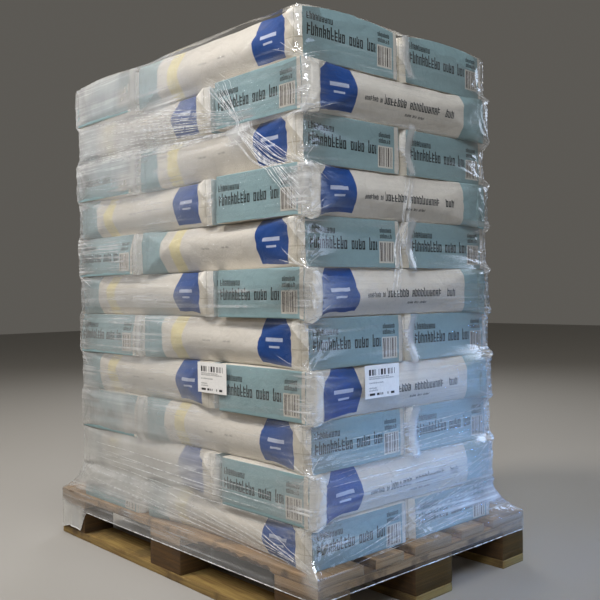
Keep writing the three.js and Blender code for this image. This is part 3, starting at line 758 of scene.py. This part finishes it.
def film_plan():
    """The stretch film before it is creased, as arrays of rows in height by columns round the load.

    Every row is a rounded rectangle that reaches as far as the layers near its height, so the film dips between
    those that stand out. Side k faces d, side k + 1 faces a, and a point of side k is
        d x reach_k + a x mix(radius - reach_(k-1), reach_(k+1) - radius, t).
    Low down the reach grows to the pallet's edge as (1 - height over the deck / 106 mm)^2.25. At the top it leans in
    with the sacks and its rim lies on them. Gives the plan, height, outward normals, the distance round (u) and up
    (v) of each column and row, the share of the rim, and what it was made from."""
    layers = [[[np.array(c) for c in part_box(f"sack_{k:02d}_{p}")] for p in SACK_PLACES]
              for k in range(1, LAYER_COUNT + 1)]
    floors, tops = ([layer[0][end][2] for layer in layers] for end in (0, 1))
    film_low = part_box("stretch_film")[0][2]
    deck_corner, deck_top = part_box("deck_board_1")[0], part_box("deck_board_1")[1][2]
    pallet = (-deck_corner[0], -deck_corner[1])

    body = np.arange(film_low, floors[-1] + FILM_RISE, FILM_STEP)
    v = np.concatenate([body, body[-1] + RIM_HEIGHT * np.linspace(0, 1, RIM_ROWS + 1)[1:]])
    z = np.minimum(v, body[-1])[:, None]
    rim = np.clip((v - body[-1]) / RIM_HEIGHT, 0, 1)[:, None]
    share = (1 - np.clip((z - deck_top) / FLARE_HEIGHT, 0, 1)) ** FLARE_POWER
    radius = 12 * MM * (1 - share) + 2.5 * MM * share

    def far_edge(layer):
        _, back, cross = layer
        outer = cross[0][0] if cross[0][0] < back[0][0] else cross[1][0]
        return sorted([(outer, cross[1][1]), (back[0][0], back[1][1]), (back[1][0], back[1][1])])

    # Ends of the upper sacks along each side, and whether it is an end patch that shows there
    front, back, cross = layers[-1]
    upper_sacks = ([(front[0][1], front[1][1], 1), (back[0][1], back[1][1], 1)],
                   [(-cross[1][0], -cross[0][0], 1), (-back[1][0], -back[0][0], 0)],
                   [(-cross[1][1], -cross[0][1], 0)],
                   [(cross[0][0], cross[1][0], 1), (front[0][0], front[1][0], 0)])
    reach, along_of, ts, edges = [], [], [], []
    for k in range(4):
        t = np.linspace(0, 1, FILM_COLUMNS[k % 2] + 1)
        t = t - 0.5 * np.sin(math.tau * t) / math.tau
        low, high = -USUAL_REACH[k - 1], USUAL_REACH[(k + 1) % 4]
        along = (low + (high - low) * t)[None]
        closeness = np.exp(-np.minimum(along - low, high - along) / 0.05)
        if k == 1:
            values = [np.interp(-along, *zip(*far_edge(layer))) for layer in layers]
        else:
            axis, sign = (1, -1) if k == 3 else (0, 1 - k)
            values = [max(sign * c[axis] for b in layer for c in b) for layer in layers]
        lift = (1.2 + 3.8 * (1 - closeness)) * MM
        edge, lean = np.zeros_like(along), np.zeros_like(along)
        for start, end, is_end in upper_sacks[k]:
            inside = np.clip((along - start) / (end - start), 0, 1)
            from_end = np.minimum(along - start, end - along)
            arch = 1 - np.abs(2 * inside - 1) ** 2.3
            edge = np.maximum(edge, 12 * MM * arch if is_end else 11 * MM * smooth(from_end / 0.16))
            lean = np.maximum(lean, (9 if is_end else 22) * MM * smooth(from_end / 0.1))
        drawn = lean * smooth((z - tops[-1] + 75 * MM) / (52 * MM)) \
            + (16 + 9 * np.sin(along * 31 + k) * np.sin(along * 13)) * MM * rim
        out = taut_reach(values, floors, tops, z, closeness) + lift
        reach.append(out * (1 - share) + (pallet[k % 2] + 1.4 * MM) * share - drawn)
        along_of.append(along[0][:-1])
        ts.append(t[None])
        edges.append(edge + tops[-1] - 0.18 * (tops[-1] - floors[-1]) + 1.5 * MM)

    axes = np.array([(1, 0), (0, 1), (-1, 0), (0, -1)], float)
    parts, normals, edge_rows = [], [], []
    for k in range(4):
        d, a = axes[k], axes[(k + 1) % 4]
        before, after = reach[k - 1][:, -1:], reach[(k + 1) % 4][:, :1]
        t = ts[k][:, :-1]
        place = (radius - before) * (1 - t) + (after - radius) * t
        parts.append(reach[k][:, :-1, None] * d + place[..., None] * a)
        turn = np.linspace(0, math.pi / 2, FILM_ARC + 1)[None, :-1, None]
        centre = (reach[k][:, -1:, None] - radius[..., None]) * d + (after[..., None] - radius[..., None]) * a
        parts.append(centre + radius[..., None] * (np.cos(turn) * d + np.sin(turn) * a))
        normals += [np.broadcast_to(d, (t.shape[1], 2)), (np.cos(turn) * d + np.sin(turn) * a)[0]]
        edge_rows += [edges[k][:, :-1], np.full((1, FILM_ARC), edges[k][0, -1])]
    plan = np.concatenate(parts, 1)
    middle = plan[len(v) // 2]
    step = np.hypot(*(np.roll(middle, -1, 0) - middle).T)
    u = np.concatenate([[0], np.cumsum(step)[:-1]])
    starts = np.cumsum([0] + [n for k in range(4) for n in (FILM_COLUMNS[k % 2], FILM_ARC)])
    height = z + 0 * plan[..., 0]
    edge = np.concatenate(edge_rows, 1)
    turn_up = smooth((height - floors[-1] - 40 * MM) / (64 * MM)) * (edge - body[-1])
    return SimpleNamespace(
        plan=plan, normal=np.concatenate(normals), u=u, v=v, total=step.sum(), along=along_of, starts=starts,
        corners=[float(u[starts[2 * k + 1]:starts[2 * k + 2]].mean()) for k in range(4)], rim=rim,
        height=height + turn_up + rim * (3 + 2 * np.sin(u * 40)[None]) * MM, grid_v=v[:, None] + 0 * height,
        layers=layers, floors=floors, tops=tops, low=film_low, deck_top=deck_top)


def crease_film(film):
    """Creases of the film: how far they push it out along its normal, how milky and how crinkled they make it, and
    the veil of the folds that bridge a joint, which is partly painted light that brightens the shaded gap. Each is a
    sum of ridges e^-(distance / width)^2 and of fans."""
    rng = np.random.default_rng(42)
    u, v, grid_v, total, deck_top = film.u, film.v, film.grid_v, film.total, film.deck_top
    floors, tops, normal = film.floors, film.tops, film.normal
    push, milk, crinkle, joint_veil_and_sheen = (np.zeros_like(grid_v) for _ in range(4))

    # Long ridges that the winding leaves, nearly level
    for _ in range(RIDGE_COUNT):
        off = away(film, rng.uniform(0, total))[None]
        rise = grid_v - rng.uniform(film.low + 0.05, v[-1]) - rng.normal(0.02, 0.05) * off
        thin, tall, reach_round = rng.uniform(5, 9) * MM, rng.uniform(0.3, 1.3) * MM, rng.uniform(0.1, 0.5)
        ridge = np.exp(-(rise / thin) ** 2 - (off / reach_round) ** 4)
        push += tall * ridge
        milk += 0.14 * ridge

    for corner, centre in enumerate(film.corners):
        # Fans at the ears that stand out, and the crumpled film over the corner
        off = away(film, centre)
        near = np.nonzero(np.abs(off) < 0.2)[0]
        across = off[near][None]
        for layer in range(LAYER_COUNT):
            stands_out, strip_way = ear(corner, layer)
            for tip in (floors[layer] + 5 * MM, tops[layer] - 5 * MM):
                up = grid_v[:, near] - tip
                size = (3.6 if stands_out else 1.8) * MM * rng.uniform(0.8, 1.2)
                shift = across - rng.uniform(-8, 8) * MM
                shift = shift * np.where(shift * strip_way > 0, 2.0, 0.85)
                push[:, near] += crease_fan(rng, shift, up, rng.uniform(24, 38) * MM, size, int(rng.integers(11, 18)))
                r = np.hypot(shift, up)
                # Partly painted highlight: the film is whitened round each ear tip, both as crumpled film and as the
                # glints there
                milk[:, near] += (0.8 if stands_out else 0.45) * np.exp(-(r / 0.038) ** 1.5)
                crinkle[:, near] += 1.2 * np.exp(-(r / 0.07) ** 2)
        close = np.nonzero(np.abs(off) < 0.09)[0]
        spread = ((-0.055, 0.055), (deck_top, v[-1]))
        fade = np.exp(-(off[close] / 0.04) ** 2)[None]
        push[:, close] += fade * crumple(rng, off[close][None], grid_v[:, close], CORNER_CREASES, spread,
                                         26 * MM, 0.9 * MM, 3 * MM)
        crinkle[:, close] += 0.6 * fade

        # Film is clear over the white strip of the end fold, calm beside it and crumpled over the end patch
        for layer in range(LAYER_COUNT):
            stands_out, strip_way = ear(corner, layer)
            aside = strip_way * across
            tall = (grid_v[:, near] - (floors[layer] + tops[layer]) / 2) / (52 * MM)
            clear = np.exp(-((aside - 22 * MM) / (24 * MM)) ** 4 - tall ** 6)
            calm = np.exp(-((aside - 85 * MM) / (85 * MM)) ** 4 - tall ** 6)
            push[:, near] *= 1 - 0.6 * calm
            milk[:, near] *= 1 - 0.9 * np.maximum(clear, 0.5 * calm)
            crinkle[:, near] *= 1 - 0.85 * np.maximum(clear, 0.7 * calm)
            over_patch = np.exp(-((aside + 26 * MM) / (26 * MM)) ** 2 - tall ** 6) * (0.8 if stands_out else 0.25)
            crinkle[:, near] += over_patch
            milk[:, near] += 0.3 * over_patch

        # Wrinkles that run down to the pallet's corner
        columns = np.nonzero(np.abs(off) < 0.4)[0]
        up = grid_v[:, columns] - deck_top + 3 * MM
        across = off[columns][None]
        fan = crease_fan(rng, across, up, 0.06, 3.2 * MM, 38)
        low_down = smooth(up / 0.012) * (1 - smooth((up - 0.08) / 0.14))
        push[:, columns] += fan * low_down * np.exp(-(across / 0.12) ** 2)
        milk[:, columns] += 0.7 * np.exp(-(np.hypot(across, up) / 0.05) ** 1.5)

    # Folds where the film spans a joint between two sacks, and ripples over the ends of the crosswise ones. A joint
    # is its side, place, half width, number of folds and their height in mm.
    for layer in range(LAYER_COUNT):
        odd = layer % 2 == 0
        level = (1 - smooth((np.abs(v - (floors[layer] + tops[layer]) / 2) - 0.05) / 0.02))[:, None]
        front, back, cross = film.layers[layer]
        joint_x = (front[0][0] + cross[1][0]) / 2 if odd else (front[1][0] + cross[0][0]) / 2
        cross_x = (cross[0][0] + cross[1][0]) / 2
        for side, along, half, count, tall in ((0 if odd else 2, (front[1][1] + back[0][1]) / 2, 0.018, 6, 1.6),
                                               (3, joint_x, 0.016, 5, 1.2), (1, joint_x, 0.016, 5, 1.2),
                                               (3, cross_x, 0.17, 14, 0.7 if odd else 0.3),
                                               (1, cross_x, 0.17, 12, 0.5)):
            off = away(film, distance(film, side, along))
            columns = np.nonzero(np.abs(off) < half * 2.5)[0]
            for _ in range(count):
                place, slant, thin = rng.uniform(-half, half), rng.normal(0, 0.22), rng.uniform(4, 7) * MM
                line = off[columns][None] - place - slant * (grid_v[:, columns] - floors[layer] - 0.05)
                fold = np.exp(-(line / thin) ** 2) * level
                push[:, columns] += rng.uniform(0.5, 1.0) * tall * MM * fold
                milk[:, columns] += (0.25 if half < 0.1 else 0.1) * fold
            if half < 0.1:
                crinkle[:, columns] += 0.7 * level * np.exp(-(off[columns] / 0.03) ** 2)[None]
                # Partly painted light: the veil over a joint whitens the shaded gap between two sacks, most on the +X
                # side
                share = 0 if layer == 0 else 0.5 if side == 0 else 0.2
                joint_veil_and_sheen[:, columns] += share * level * np.exp(-((off[columns] - 6 * MM) / 0.013) ** 4)[None]

    # Pleats in the flare, stronger on the two sides where it is wide, and level folds along it
    wide_flare = (0.25 + 0.75 * (np.maximum(-normal[:, 0], 0) + np.maximum(normal[:, 1], 0)))[None]
    over_deck = grid_v - deck_top
    for _ in range(PLEAT_COUNT):
        off = away(film, rng.uniform(0, total))[None]
        line = off - rng.normal(0, 0.7) * over_deck
        pleat = np.exp(-(line / rng.uniform(5, 12) / MM) ** 2) * smooth(over_deck / 0.03) \
            * (1 - smooth((over_deck - 0.05) / 0.14)) * wide_flare
        push += rng.uniform(0.8, 3.0) * MM * pleat
        milk += 0.12 * pleat
    for _ in range(FLARE_FOLDS):
        off = away(film, rng.uniform(0, total))[None]
        slope = rng.normal(0.12, 0.1)
        rise = over_deck - rng.uniform(0.01, 0.15) - slope * off
        fold = np.exp(-(rise / rng.uniform(4, 7) / MM) ** 2 - (off / rng.uniform(0.05, 0.25)) ** 4) \
            * smooth(over_deck / 0.012)
        push += rng.uniform(0.8, 2.2) * MM * fold
        milk += 0.16 * fold
    return push, milk, crinkle, joint_veil_and_sheen


def wind_film():
    """The film's plan, pushed out by its creases and hung over the pallet's edge, lower round one corner, with three
    values of haze per point: milk in streaks, an even veil, and crinkle. They grow low down, at the front on the
    left, where turns overlap in a slow spiral, at the knots, and over the lower right of the +X side and its flare,
    where they are partly painted sheen."""
    film = film_plan()
    push, milk, crinkle, joint_veil_and_sheen = crease_film(film)
    u, grid_v, deck_top, corners = film.u, film.grid_v, film.deck_top, film.corners
    normal = film.normal[None]
    plan = film.plan + (push * (1 - 0.6 * film.rim))[..., None] * normal

    # The film hangs lower round the corner at -X -Y
    hang = 1 - smooth((np.abs(away(film, corners[2])) - 0.11) / 0.04)[None]
    under = np.clip((deck_top - 12 * MM - grid_v) / (deck_top - 12 * MM - film.low), 0, 1)
    height = film.height - under * hang * (HANG_DEPTH + 6 * MM * np.sin(u * 55)[None])
    sway = (4 + 5 * np.sin(u * 90 + 1)[None] * np.sin(u * 37)[None]) * MM
    plan = plan + (under * hang * sway)[..., None] * normal

    knot = np.zeros_like(height)
    for side, along, up, size in KNOTS:
        off = away(film, distance(film, side, along * MM))[None]
        knot += np.exp(-((off / size) ** 2 + ((grid_v - up * MM) / size) ** 2) / MM ** 2)
    spiral = (grid_v - 0.25 * u[None] / film.total) / 0.25
    overlap = smooth((np.abs(spiral % 1 - 0.5) - 0.2) / 0.03)
    from_left = away(film, corners[2])[None]
    front_left = np.where(from_left > -0.1, 1 - smooth((from_left - 0.3) / 0.55), 0.6)
    over_deck = smooth((grid_v - deck_top - 0.01) / 0.05)
    lower = np.exp(-((grid_v - 0.27) / 0.2) ** 2) * over_deck
    upper = smooth((grid_v - 0.85) / 0.4) * front_left
    hem = (1 - over_deck) * np.exp(-(away(film, (corners[2] + corners[3]) / 2) / 0.45) ** 4)[None]
    by_right = away(film, corners[0])[None]
    # Painted sheen: milk and veil raised over the lower right of the +X side and its flare stand in for reflected light
    # there, on top of the film's own haze
    right_flare_sheen = np.exp(-(by_right / 0.16) ** 2 - ((grid_v - 0.22) / 0.09) ** 2)
    right_low_sheen = np.exp(-(by_right / 0.42) ** 4 - ((grid_v - 0.37) / 0.26) ** 4)

    milk = 0.01 + 0.06 * overlap + 0.08 * lower + 0.29 * front_left + 0.3 * upper + knot + milk * over_deck \
        + 0.25 * hem + 0.12 * right_low_sheen + 0.25 * right_flare_sheen
    veil = lower * (0.08 + 0.46 * front_left) + 0.14 * front_left * over_deck + 0.24 * upper + joint_veil_and_sheen + 0.5 * knot \
        + 0.12 * hem + 0.12 * right_low_sheen + 0.12 * right_flare_sheen \
        + 0.6 * hang * smooth((deck_top - 36 * MM - height) / (8 * MM))
    film.points = np.concatenate([plan, height[..., None]], -1)
    film.haze = {kind: np.clip(values, 0, 1)
                 for kind, values in (("milk", milk), ("veil", veil), ("crinkle", crinkle + knot))}
    return film


def make_film(film, material):
    """Two overlapping pieces of the wound film; the lower turns lie over the upper ones by half a millimetre."""
    rows_in_all, columns = film.points.shape[:2]
    half = rows_in_all // 2
    for name, rows in (("lower", slice(0, half + 6)), ("upper", slice(half - 6, rows_in_all))):
        part = film.points[rows].copy()
        if name == "lower":
            over = smooth((np.arange(len(part)) - half + 8) / 4)[:, None, None]
            part[..., :2] += 0.5 * MM * over * film.normal[None]
        piece = make_piece("film_" + name + "_turns", part, grid_faces(len(part), columns), None, (material,),
                           slot="clear_film", **{kind: values[rows] for kind, values in film.haze.items()})
        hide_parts("stretch_film")


def film_point(film, around, up, lift):
    """Points of the film at distances around and heights up, moved outwards by lift, and the outward normals there."""
    points, normal, u, v = film.points, film.normal, film.u, film.v
    column = np.interp(around % film.total, np.append(u, film.total), np.arange(len(u) + 1))
    row = np.clip(np.interp(up, v, np.arange(len(v))), 0, len(v) - 1.001)
    i, j = row.astype(int), column.astype(int) % len(u)
    a, b = (row - i)[:, None], (column % 1)[:, None]
    k = (j + 1) % len(u)
    here, above = (points[n, j] * (1 - b) + points[n, k] * b for n in (i, i + 1))
    out = np.column_stack([normal[j] * (1 - b) + normal[k] * b, np.zeros(len(j))])
    out /= np.linalg.norm(out, axis=1)[:, None]
    return here * (1 - a) + above * a + lift * out, out


def cord(path, out, radius, sides=4):
    """Points of a thin tube round a path: path + radius (cos a out + sin a out x tangent)."""
    tangent = np.gradient(path, axis=0)
    tangent /= np.linalg.norm(tangent, axis=1)[:, None]
    other = np.cross(out, tangent)
    a = (np.arange(sides) * math.tau / sides)[None, :, None]
    return path[:, None] + radius[:, None, None] * (np.cos(a) * out[:, None] + np.sin(a) * other[:, None])


def make_cords(name, cords, material):
    """One piece from many tubes, each closed at both ends."""
    points, faces, start = [], [], 0
    for tube in cords:
        rows, sides = tube.shape[:2]
        last = start + (rows - 1) * sides
        points.append(tube.reshape(-1, 3))
        faces += (grid_faces(rows, sides)[:, ::-1] + start).tolist()
        faces += [range(start, start + sides), range(last + sides - 1, last - 1, -1)]
        start += rows * sides
    make_piece(name, np.concatenate(points), faces, None, (material,), slot="clear_film")


def make_strands(film, material):
    """Film drawn into thin cords that lie on the winding, in bundles. A bundle runs from a range of places at one
    end to a range at the other; each cord is straight on the unrolled film, with a slight bow."""
    rng = np.random.default_rng(7)
    cords = []

    def lay_cord(start, end, thick):
        (u0, v0), (u1, v1) = start, end
        du = (u1 - u0 + film.total / 2) % film.total - film.total / 2
        length = math.hypot(du, v1 - v0)
        t = np.linspace(0, 1, max(7, int(length / CORD_STEP)))
        bow = rng.normal(0, 0.012) * np.sin(math.pi * t) * length
        wobble = 0.5 * MM * np.sin(t * length / (23 * MM) + rng.uniform(0, 6))
        path, out = film_point(film, u0 + du * t, v0 + (v1 - v0) * t + bow + wobble, 0.6 * MM)
        taper = 0.12 + np.sin(math.pi * np.clip(t, 0.001, 0.999)) ** 0.5
        cords.append(cord(path, out, thick * rng.uniform(0.5, 1.1) * taper))

    for count, thick, *both in STRAND_BUNDLES:
        ends = []
        for side, along, up in both:
            places, heights = rng.uniform(*along, count), np.linspace(*up, count) + rng.normal(0, 3, count)
            ends.append([(distance(film, side, a * MM), h * MM) for a, h in zip(places, heights)])
        for first, last in zip(*ends):
            lay_cord(first, last, thick * MM)

    # Short ones that radiate from the ears that stand out
    for corner, centre in enumerate(film.corners):
        for layer in range(LAYER_COUNT):
            for tip, up in ((film.floors[layer] + 4 * MM, -1), (film.tops[layer] - 4 * MM, 1)):
                for _ in range(9 if ear(corner, layer)[0] and corner == 3 else 4):
                    angle, reach = rng.uniform(-1.35, 1.35), rng.uniform(0.03, 0.10)
                    first = (centre + rng.normal(0, 4) * MM, tip + rng.normal(0, 3) * MM)
                    last = (centre + reach * math.sin(angle), tip + up * (reach * math.cos(angle) * 0.7))
                    if film.deck_top + 0.01 < last[1] < film.v[-1] - 0.03:
                        lay_cord(first, last, 0.55 * MM)
    make_cords("film_strands", cords, material)

    # The film's lower edge, rolled up on itself as it was wound: a closed ring, six-sided
    rolled = film.u[::2]
    path, out = film_point(film, rolled, np.full(len(rolled), film.v[0] + 0.5 * MM), 0.8 * MM)
    thick = (1.15 + 0.55 * np.sin(rolled * 61) * np.sin(rolled * 23)) * MM
    ring = cord(*(np.concatenate([values[-1:], values, values[:1]]) for values in (path, out, thick)), 6)[1:-1]
    faces = grid_faces(len(ring) + 1, 6) % (len(ring) * 6)
    make_piece("film_rolled_edge", ring, faces[:, ::-1], None, (material,), slot="clear_film")


# Wood

def make_board(node, material, slot, broken=None):
    """A sawn board or block in the place of its CAD solid: a box whose long edges are worn round.

    Rows run along its longest side; the section is a rectangle with round corners, and each corner's radius wanders
    by itself. Where the edge is broken, from and to along the board, the radius grows to about 14 mm."""
    low, high = (np.array(c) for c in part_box(node))
    size = high - low
    long_axis = int(np.argmax(size))
    cross = [a for a in range(3) if a != long_axis]
    rng = np.random.default_rng(sum(map(ord, node)))
    rows = max(12, int(size[long_axis] / ROW_STEPS[0 if broken else 1]))
    t = np.linspace(0, size[long_axis], rows)
    w, h = size[cross] / 2
    radii = [np.clip(2.6 * MM + 1.4 * MM * soft_noise(rng, t, 0 * t, 6, 0.3, 0.03), 1 * MM, 5 * MM) for _ in range(4)]
    if broken:
        start, end = broken
        window = smooth((t - start) / 0.2) * (1 - smooth((t - end) / 0.02))
        jagged = 0.75 + 0.35 * soft_noise(rng, t, 0 * t, 9, 0.1, 0.02)
        radii[2] = radii[2] + BROKEN_RADIUS * window * jagged
    flat = np.linspace(0, 1, 5)[None, :-1]
    corners = []
    for (cx, cy), a0, r in zip(((1, 1), (-1, 1), (-1, -1), (1, -1)), (0, 0.5, 1, 1.5), radii):
        a, r = math.pi * (a0 + np.linspace(0, 0.5, WORN_STEPS))[None], r[:, None]
        dark = smooth((r - 6 * MM) / (3 * MM)) + 0 * a
        corners.append((cx * (w - r) + r * np.cos(a), cy * (h - r) + r * np.sin(a), dark))
    parts = [[], [], []]
    for i, (*corner, dark) in enumerate(corners):
        for part, values, following in zip(parts, corner, corners[(i + 1) % 4]):
            last = values[:, -1:]
            part += [values[:, :-1], last + (following[:, :1] - last) * flat]
        parts[2] += [dark[:, :-1], dark[:, -1:] * (flat == 0)]
    px, py, dark = (np.concatenate(part, 1) for part in parts)
    step = np.hypot(np.diff(px, axis=1, append=px[:, :1]), np.diff(py, axis=1, append=py[:, :1]))
    around = np.concatenate([np.zeros((rows, 1)), np.cumsum(step, 1)[:, :-1]], 1)
    count = px.shape[1]
    ragged = np.zeros((rows, count))
    for end, sign in ((0, 1), (-1, -1)):
        ragged[end] = sign * np.abs(soft_noise(rng, px[0], py[0], 8, 0.08, 0.01)) * 1.2 * MM
    body = np.stack([t[:, None] + ragged, px, py], -1)
    shift = rng.uniform(0, 40, 2)
    uv = np.stack([t[:, None] + 0 * px + shift[0], around + shift[1]], -1)
    caps, cap_uv, faces = [], [], [grid_faces(rows, count)[:, ::-1]]
    start = rows * count
    for end, flip in ((0, False), (rows - 1, True)):
        ring = np.stack([px[end], py[end]], -1)
        before = end * count + np.arange(count)
        for scale in (0.985, 0.5, 0.0):
            inner = ring * scale if scale else ring[:1] * 0
            here = start + np.arange(len(inner))
            after = here if scale else np.repeat(here, count)
            quads = np.stack([before, np.roll(before, -1), np.roll(after, -1), after], -1)
            faces.append(quads[:, ::-1] if flip else quads)
            caps.append(np.concatenate([np.full((len(inner), 1), t[end]), inner], 1))
            cap_uv.append(inner * (0.06, 1.0) + shift + 3)
            before, start = here, start + len(inner)
    local = np.concatenate([body.reshape(-1, 3)] + caps)
    world = np.empty_like(local)
    world[:, long_axis] = low[long_axis] + local[:, 0]
    world[:, cross] = ((low + high) / 2)[cross] + local[:, 1:]
    quads = np.concatenate(faces)
    if long_axis == 1:
        quads = quads[:, ::-1]
    polygons = [tuple(dict.fromkeys(f)) for f in quads.tolist()]
    capped = np.zeros(len(world) - rows * count)
    # Painted shade: 1 on the board's upright faces, which its material darkens
    upright = smooth((np.abs(px) - w + 4 * MM) / (3 * MM))
    piece = make_piece("wood_" + node, world, polygons, np.concatenate([uv.reshape(-1, 2)] + cap_uv), (material,),
                       slot=slot, broken=np.concatenate([dark.ravel(), capped]),
                       sawn_end=np.concatenate([np.zeros(rows * count), capped + 1]),
                       upright=np.concatenate([upright.ravel(), capped]))
    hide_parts(node)


def make_nails(material):
    """Nail heads where the deck boards cross the boards under them: domes 9 mm wide, radius r(1 - k), height
    0.9 mm x sqrt(k), from a ring sunk in the wood up to a closed middle."""
    rng = np.random.default_rng(3)
    centres = []
    for i in range(1, 6):
        low, high = (np.array(c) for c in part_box(f"deck_board_{i}"))
        for j in range(1, 4):
            under_low, under_high = (np.array(c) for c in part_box(f"cross_board_{j}"))
            centres += [[under_low[0] + (under_high[0] - under_low[0]) * x, low[1] + (high[1] - low[1]) * y, high[2]]
                        for x, y in NAIL_PLACES]
    scatter = np.column_stack([rng.normal(0, 5, (len(centres), 2)) * MM, np.zeros(len(centres))])
    x, y, z = (np.array(centres) + scatter).T[:, :, None, None]
    k = np.array(NAIL_RINGS)[None, :, None]
    a = (np.arange(NAIL_SIDES) * math.tau / NAIL_SIDES)[None, None]
    ring = NAIL_RADIUS * (1 - k)
    points = np.stack([x + ring * np.cos(a), y + ring * np.sin(a),
                       z + NAIL_HEIGHT * np.sqrt(k) - 0.2 * MM + 0 * a], -1)
    each = len(NAIL_RINGS) * NAIL_SIDES
    one = grid_faces(len(NAIL_RINGS), NAIL_SIDES)
    faces = np.concatenate([one + each * n for n in range(len(centres))]).tolist()
    faces += [range(each * (n + 1) - NAIL_SIDES, each * (n + 1)) for n in range(len(centres))]
    make_piece("wood_nail_heads", points, faces, None, (material,))


# Labels

def make_label(node, material, outward_axis):
    """A label as one thin sheet on the film: upright on the long side, and leaning with the film on the short one."""
    low, high = (np.array(c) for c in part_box(node))
    a, b = np.meshgrid(np.linspace(0, 1, 17), np.linspace(0, 1, 11), indexing="xy")
    level = 1 - outward_axis
    across, up = low[level] + (high[level] - low[level]) * a, low[2] + (high[2] - low[2]) * b
    if outward_axis == 1:
        points = np.stack([across, low[1] - 2.2 * MM + 0 * a, up], -1)
    else:
        points = np.stack([high[0] + (low[0] - high[0]) * b + 2.6 * MM, across, up], -1)
    uv = np.stack([across - low[level], up - low[2]], -1)
    piece = make_piece("printed_" + node, points, grid_faces(11, 17, wrap=False), uv, (material,), slot="label_paper")
    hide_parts(node)


# Stage

def stand(name, data, right, up, back, place):
    """Puts a camera or a light in the scene from its three axes and its place."""
    thing = bpy.data.objects.new(name, data)
    matrix = np.eye(4)
    matrix[:3] = np.column_stack([right, up, back, place])
    thing.matrix_world = Matrix(matrix.tolist())
    bpy.context.scene.collection.objects.link(thing)
    return thing


def make_camera():
    """Camera from its place, yaw, pitch and roll, with the photograph's focal length."""
    yaw, pitch, roll = (math.radians(a) for a in CAMERA_TURN)
    forward = np.array([-math.sin(yaw) * math.cos(pitch), math.cos(yaw) * math.cos(pitch), math.sin(pitch)])
    right = np.cross(forward, (0, 0, 1))
    right /= np.linalg.norm(right)
    up = np.cross(right, forward)
    data = bpy.data.cameras.new("photo_camera")
    data.sensor_width = SENSOR
    data.lens = FOCAL_PIXELS / PHOTO_SIZE * SENSOR
    bpy.context.scene.camera = stand("photo_camera", data, math.cos(roll) * right + math.sin(roll) * up,
                                     math.cos(roll) * up - math.sin(roll) * right, -forward, CAMERA_PLACE)


def make_light(name, place, target, size, power, colour, spread, mirrored):
    """A round soft light that the camera doesn't see."""
    data = bpy.data.lights.new(name, "AREA")
    data.spread = math.radians(spread)
    data.shape = "DISK"
    data.size = size
    data.energy = power
    data.color = linear(colour)[:3]
    back = np.array(place, float) - np.array(target, float)
    back /= np.linalg.norm(back)
    side = np.cross((0, 0, 1), back)
    side /= np.linalg.norm(side)
    light = stand(name, data, side, np.cross(back, side), back, place)
    light.visible_camera = False
    light.visible_glossy = mirrored


def make_stage():
    """A wide pale floor and a dim pale world, with the soft lights of the table."""
    material, tree = new_material("pale_floor")
    add(tree, "OutputMaterial", add(tree, "BsdfPrincipled", Base_Color="#a9a7a3", Roughness=0.9))
    mesh = bpy.data.meshes.new("floor")
    corners = [(x * FLOOR_REACH, y * FLOOR_REACH, 0) for x, y in ((-1, -1), (1, -1), (1, 1), (-1, 1))]
    mesh.from_pydata(corners, [], [(0, 1, 2, 3)])
    mesh.materials.append(material)
    floor = bpy.data.objects.new("floor", mesh)
    bpy.context.scene.collection.objects.link(floor)
    world = bpy.data.worlds.new("studio")
    world.use_nodes = True
    background = world.node_tree.nodes["Background"]
    background.inputs["Color"].default_value = linear("#e6e0d5")
    background.inputs["Strength"].default_value = WORLD_LIGHT
    bpy.context.scene.world = world
    for name, settings in LIGHTS.items():
        make_light(name, *settings)
    bpy.context.scene.view_settings.view_transform = "Standard"


make_camera()
make_stage()

side_material, end_material = side_paper(), end_paper()
for layer in range(1, LAYER_COUNT + 1):
    for place in SACK_PLACES:
        make_sack(f"sack_{layer:02d}_{place}", side_material, end_material)

deck_material = sawn_wood("sawn_spruce_deck", "#bd9c72", "#96754c", "#5a4e40", 0.75)
block_material = sawn_wood("sawn_block", "#674818", "#412d0d", "#2c2113", 0.6)
base_material = sawn_wood("sawn_spruce_base", "#b09556", "#86693a", "#5e4f35", 0.6)
for node in sorted(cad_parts):
    if node.startswith(("deck_board", "cross_board")):
        make_board(node, deck_material, "deck_wood", BROKEN_STRETCH if node == "deck_board_1" else None)
    elif node.startswith("block"):
        make_board(node, block_material, "block_wood")
    elif node.startswith("bottom_board"):
        make_board(node, base_material, "base_wood")
make_nails(dull_steel())

wound_film = wind_film()
make_film(wound_film, clear_film())
make_strands(wound_film, drawn_film())
make_label("front_label", label_paper("front_label_paper"), 1)
make_label("end_label", label_paper("end_label_paper"), 0)
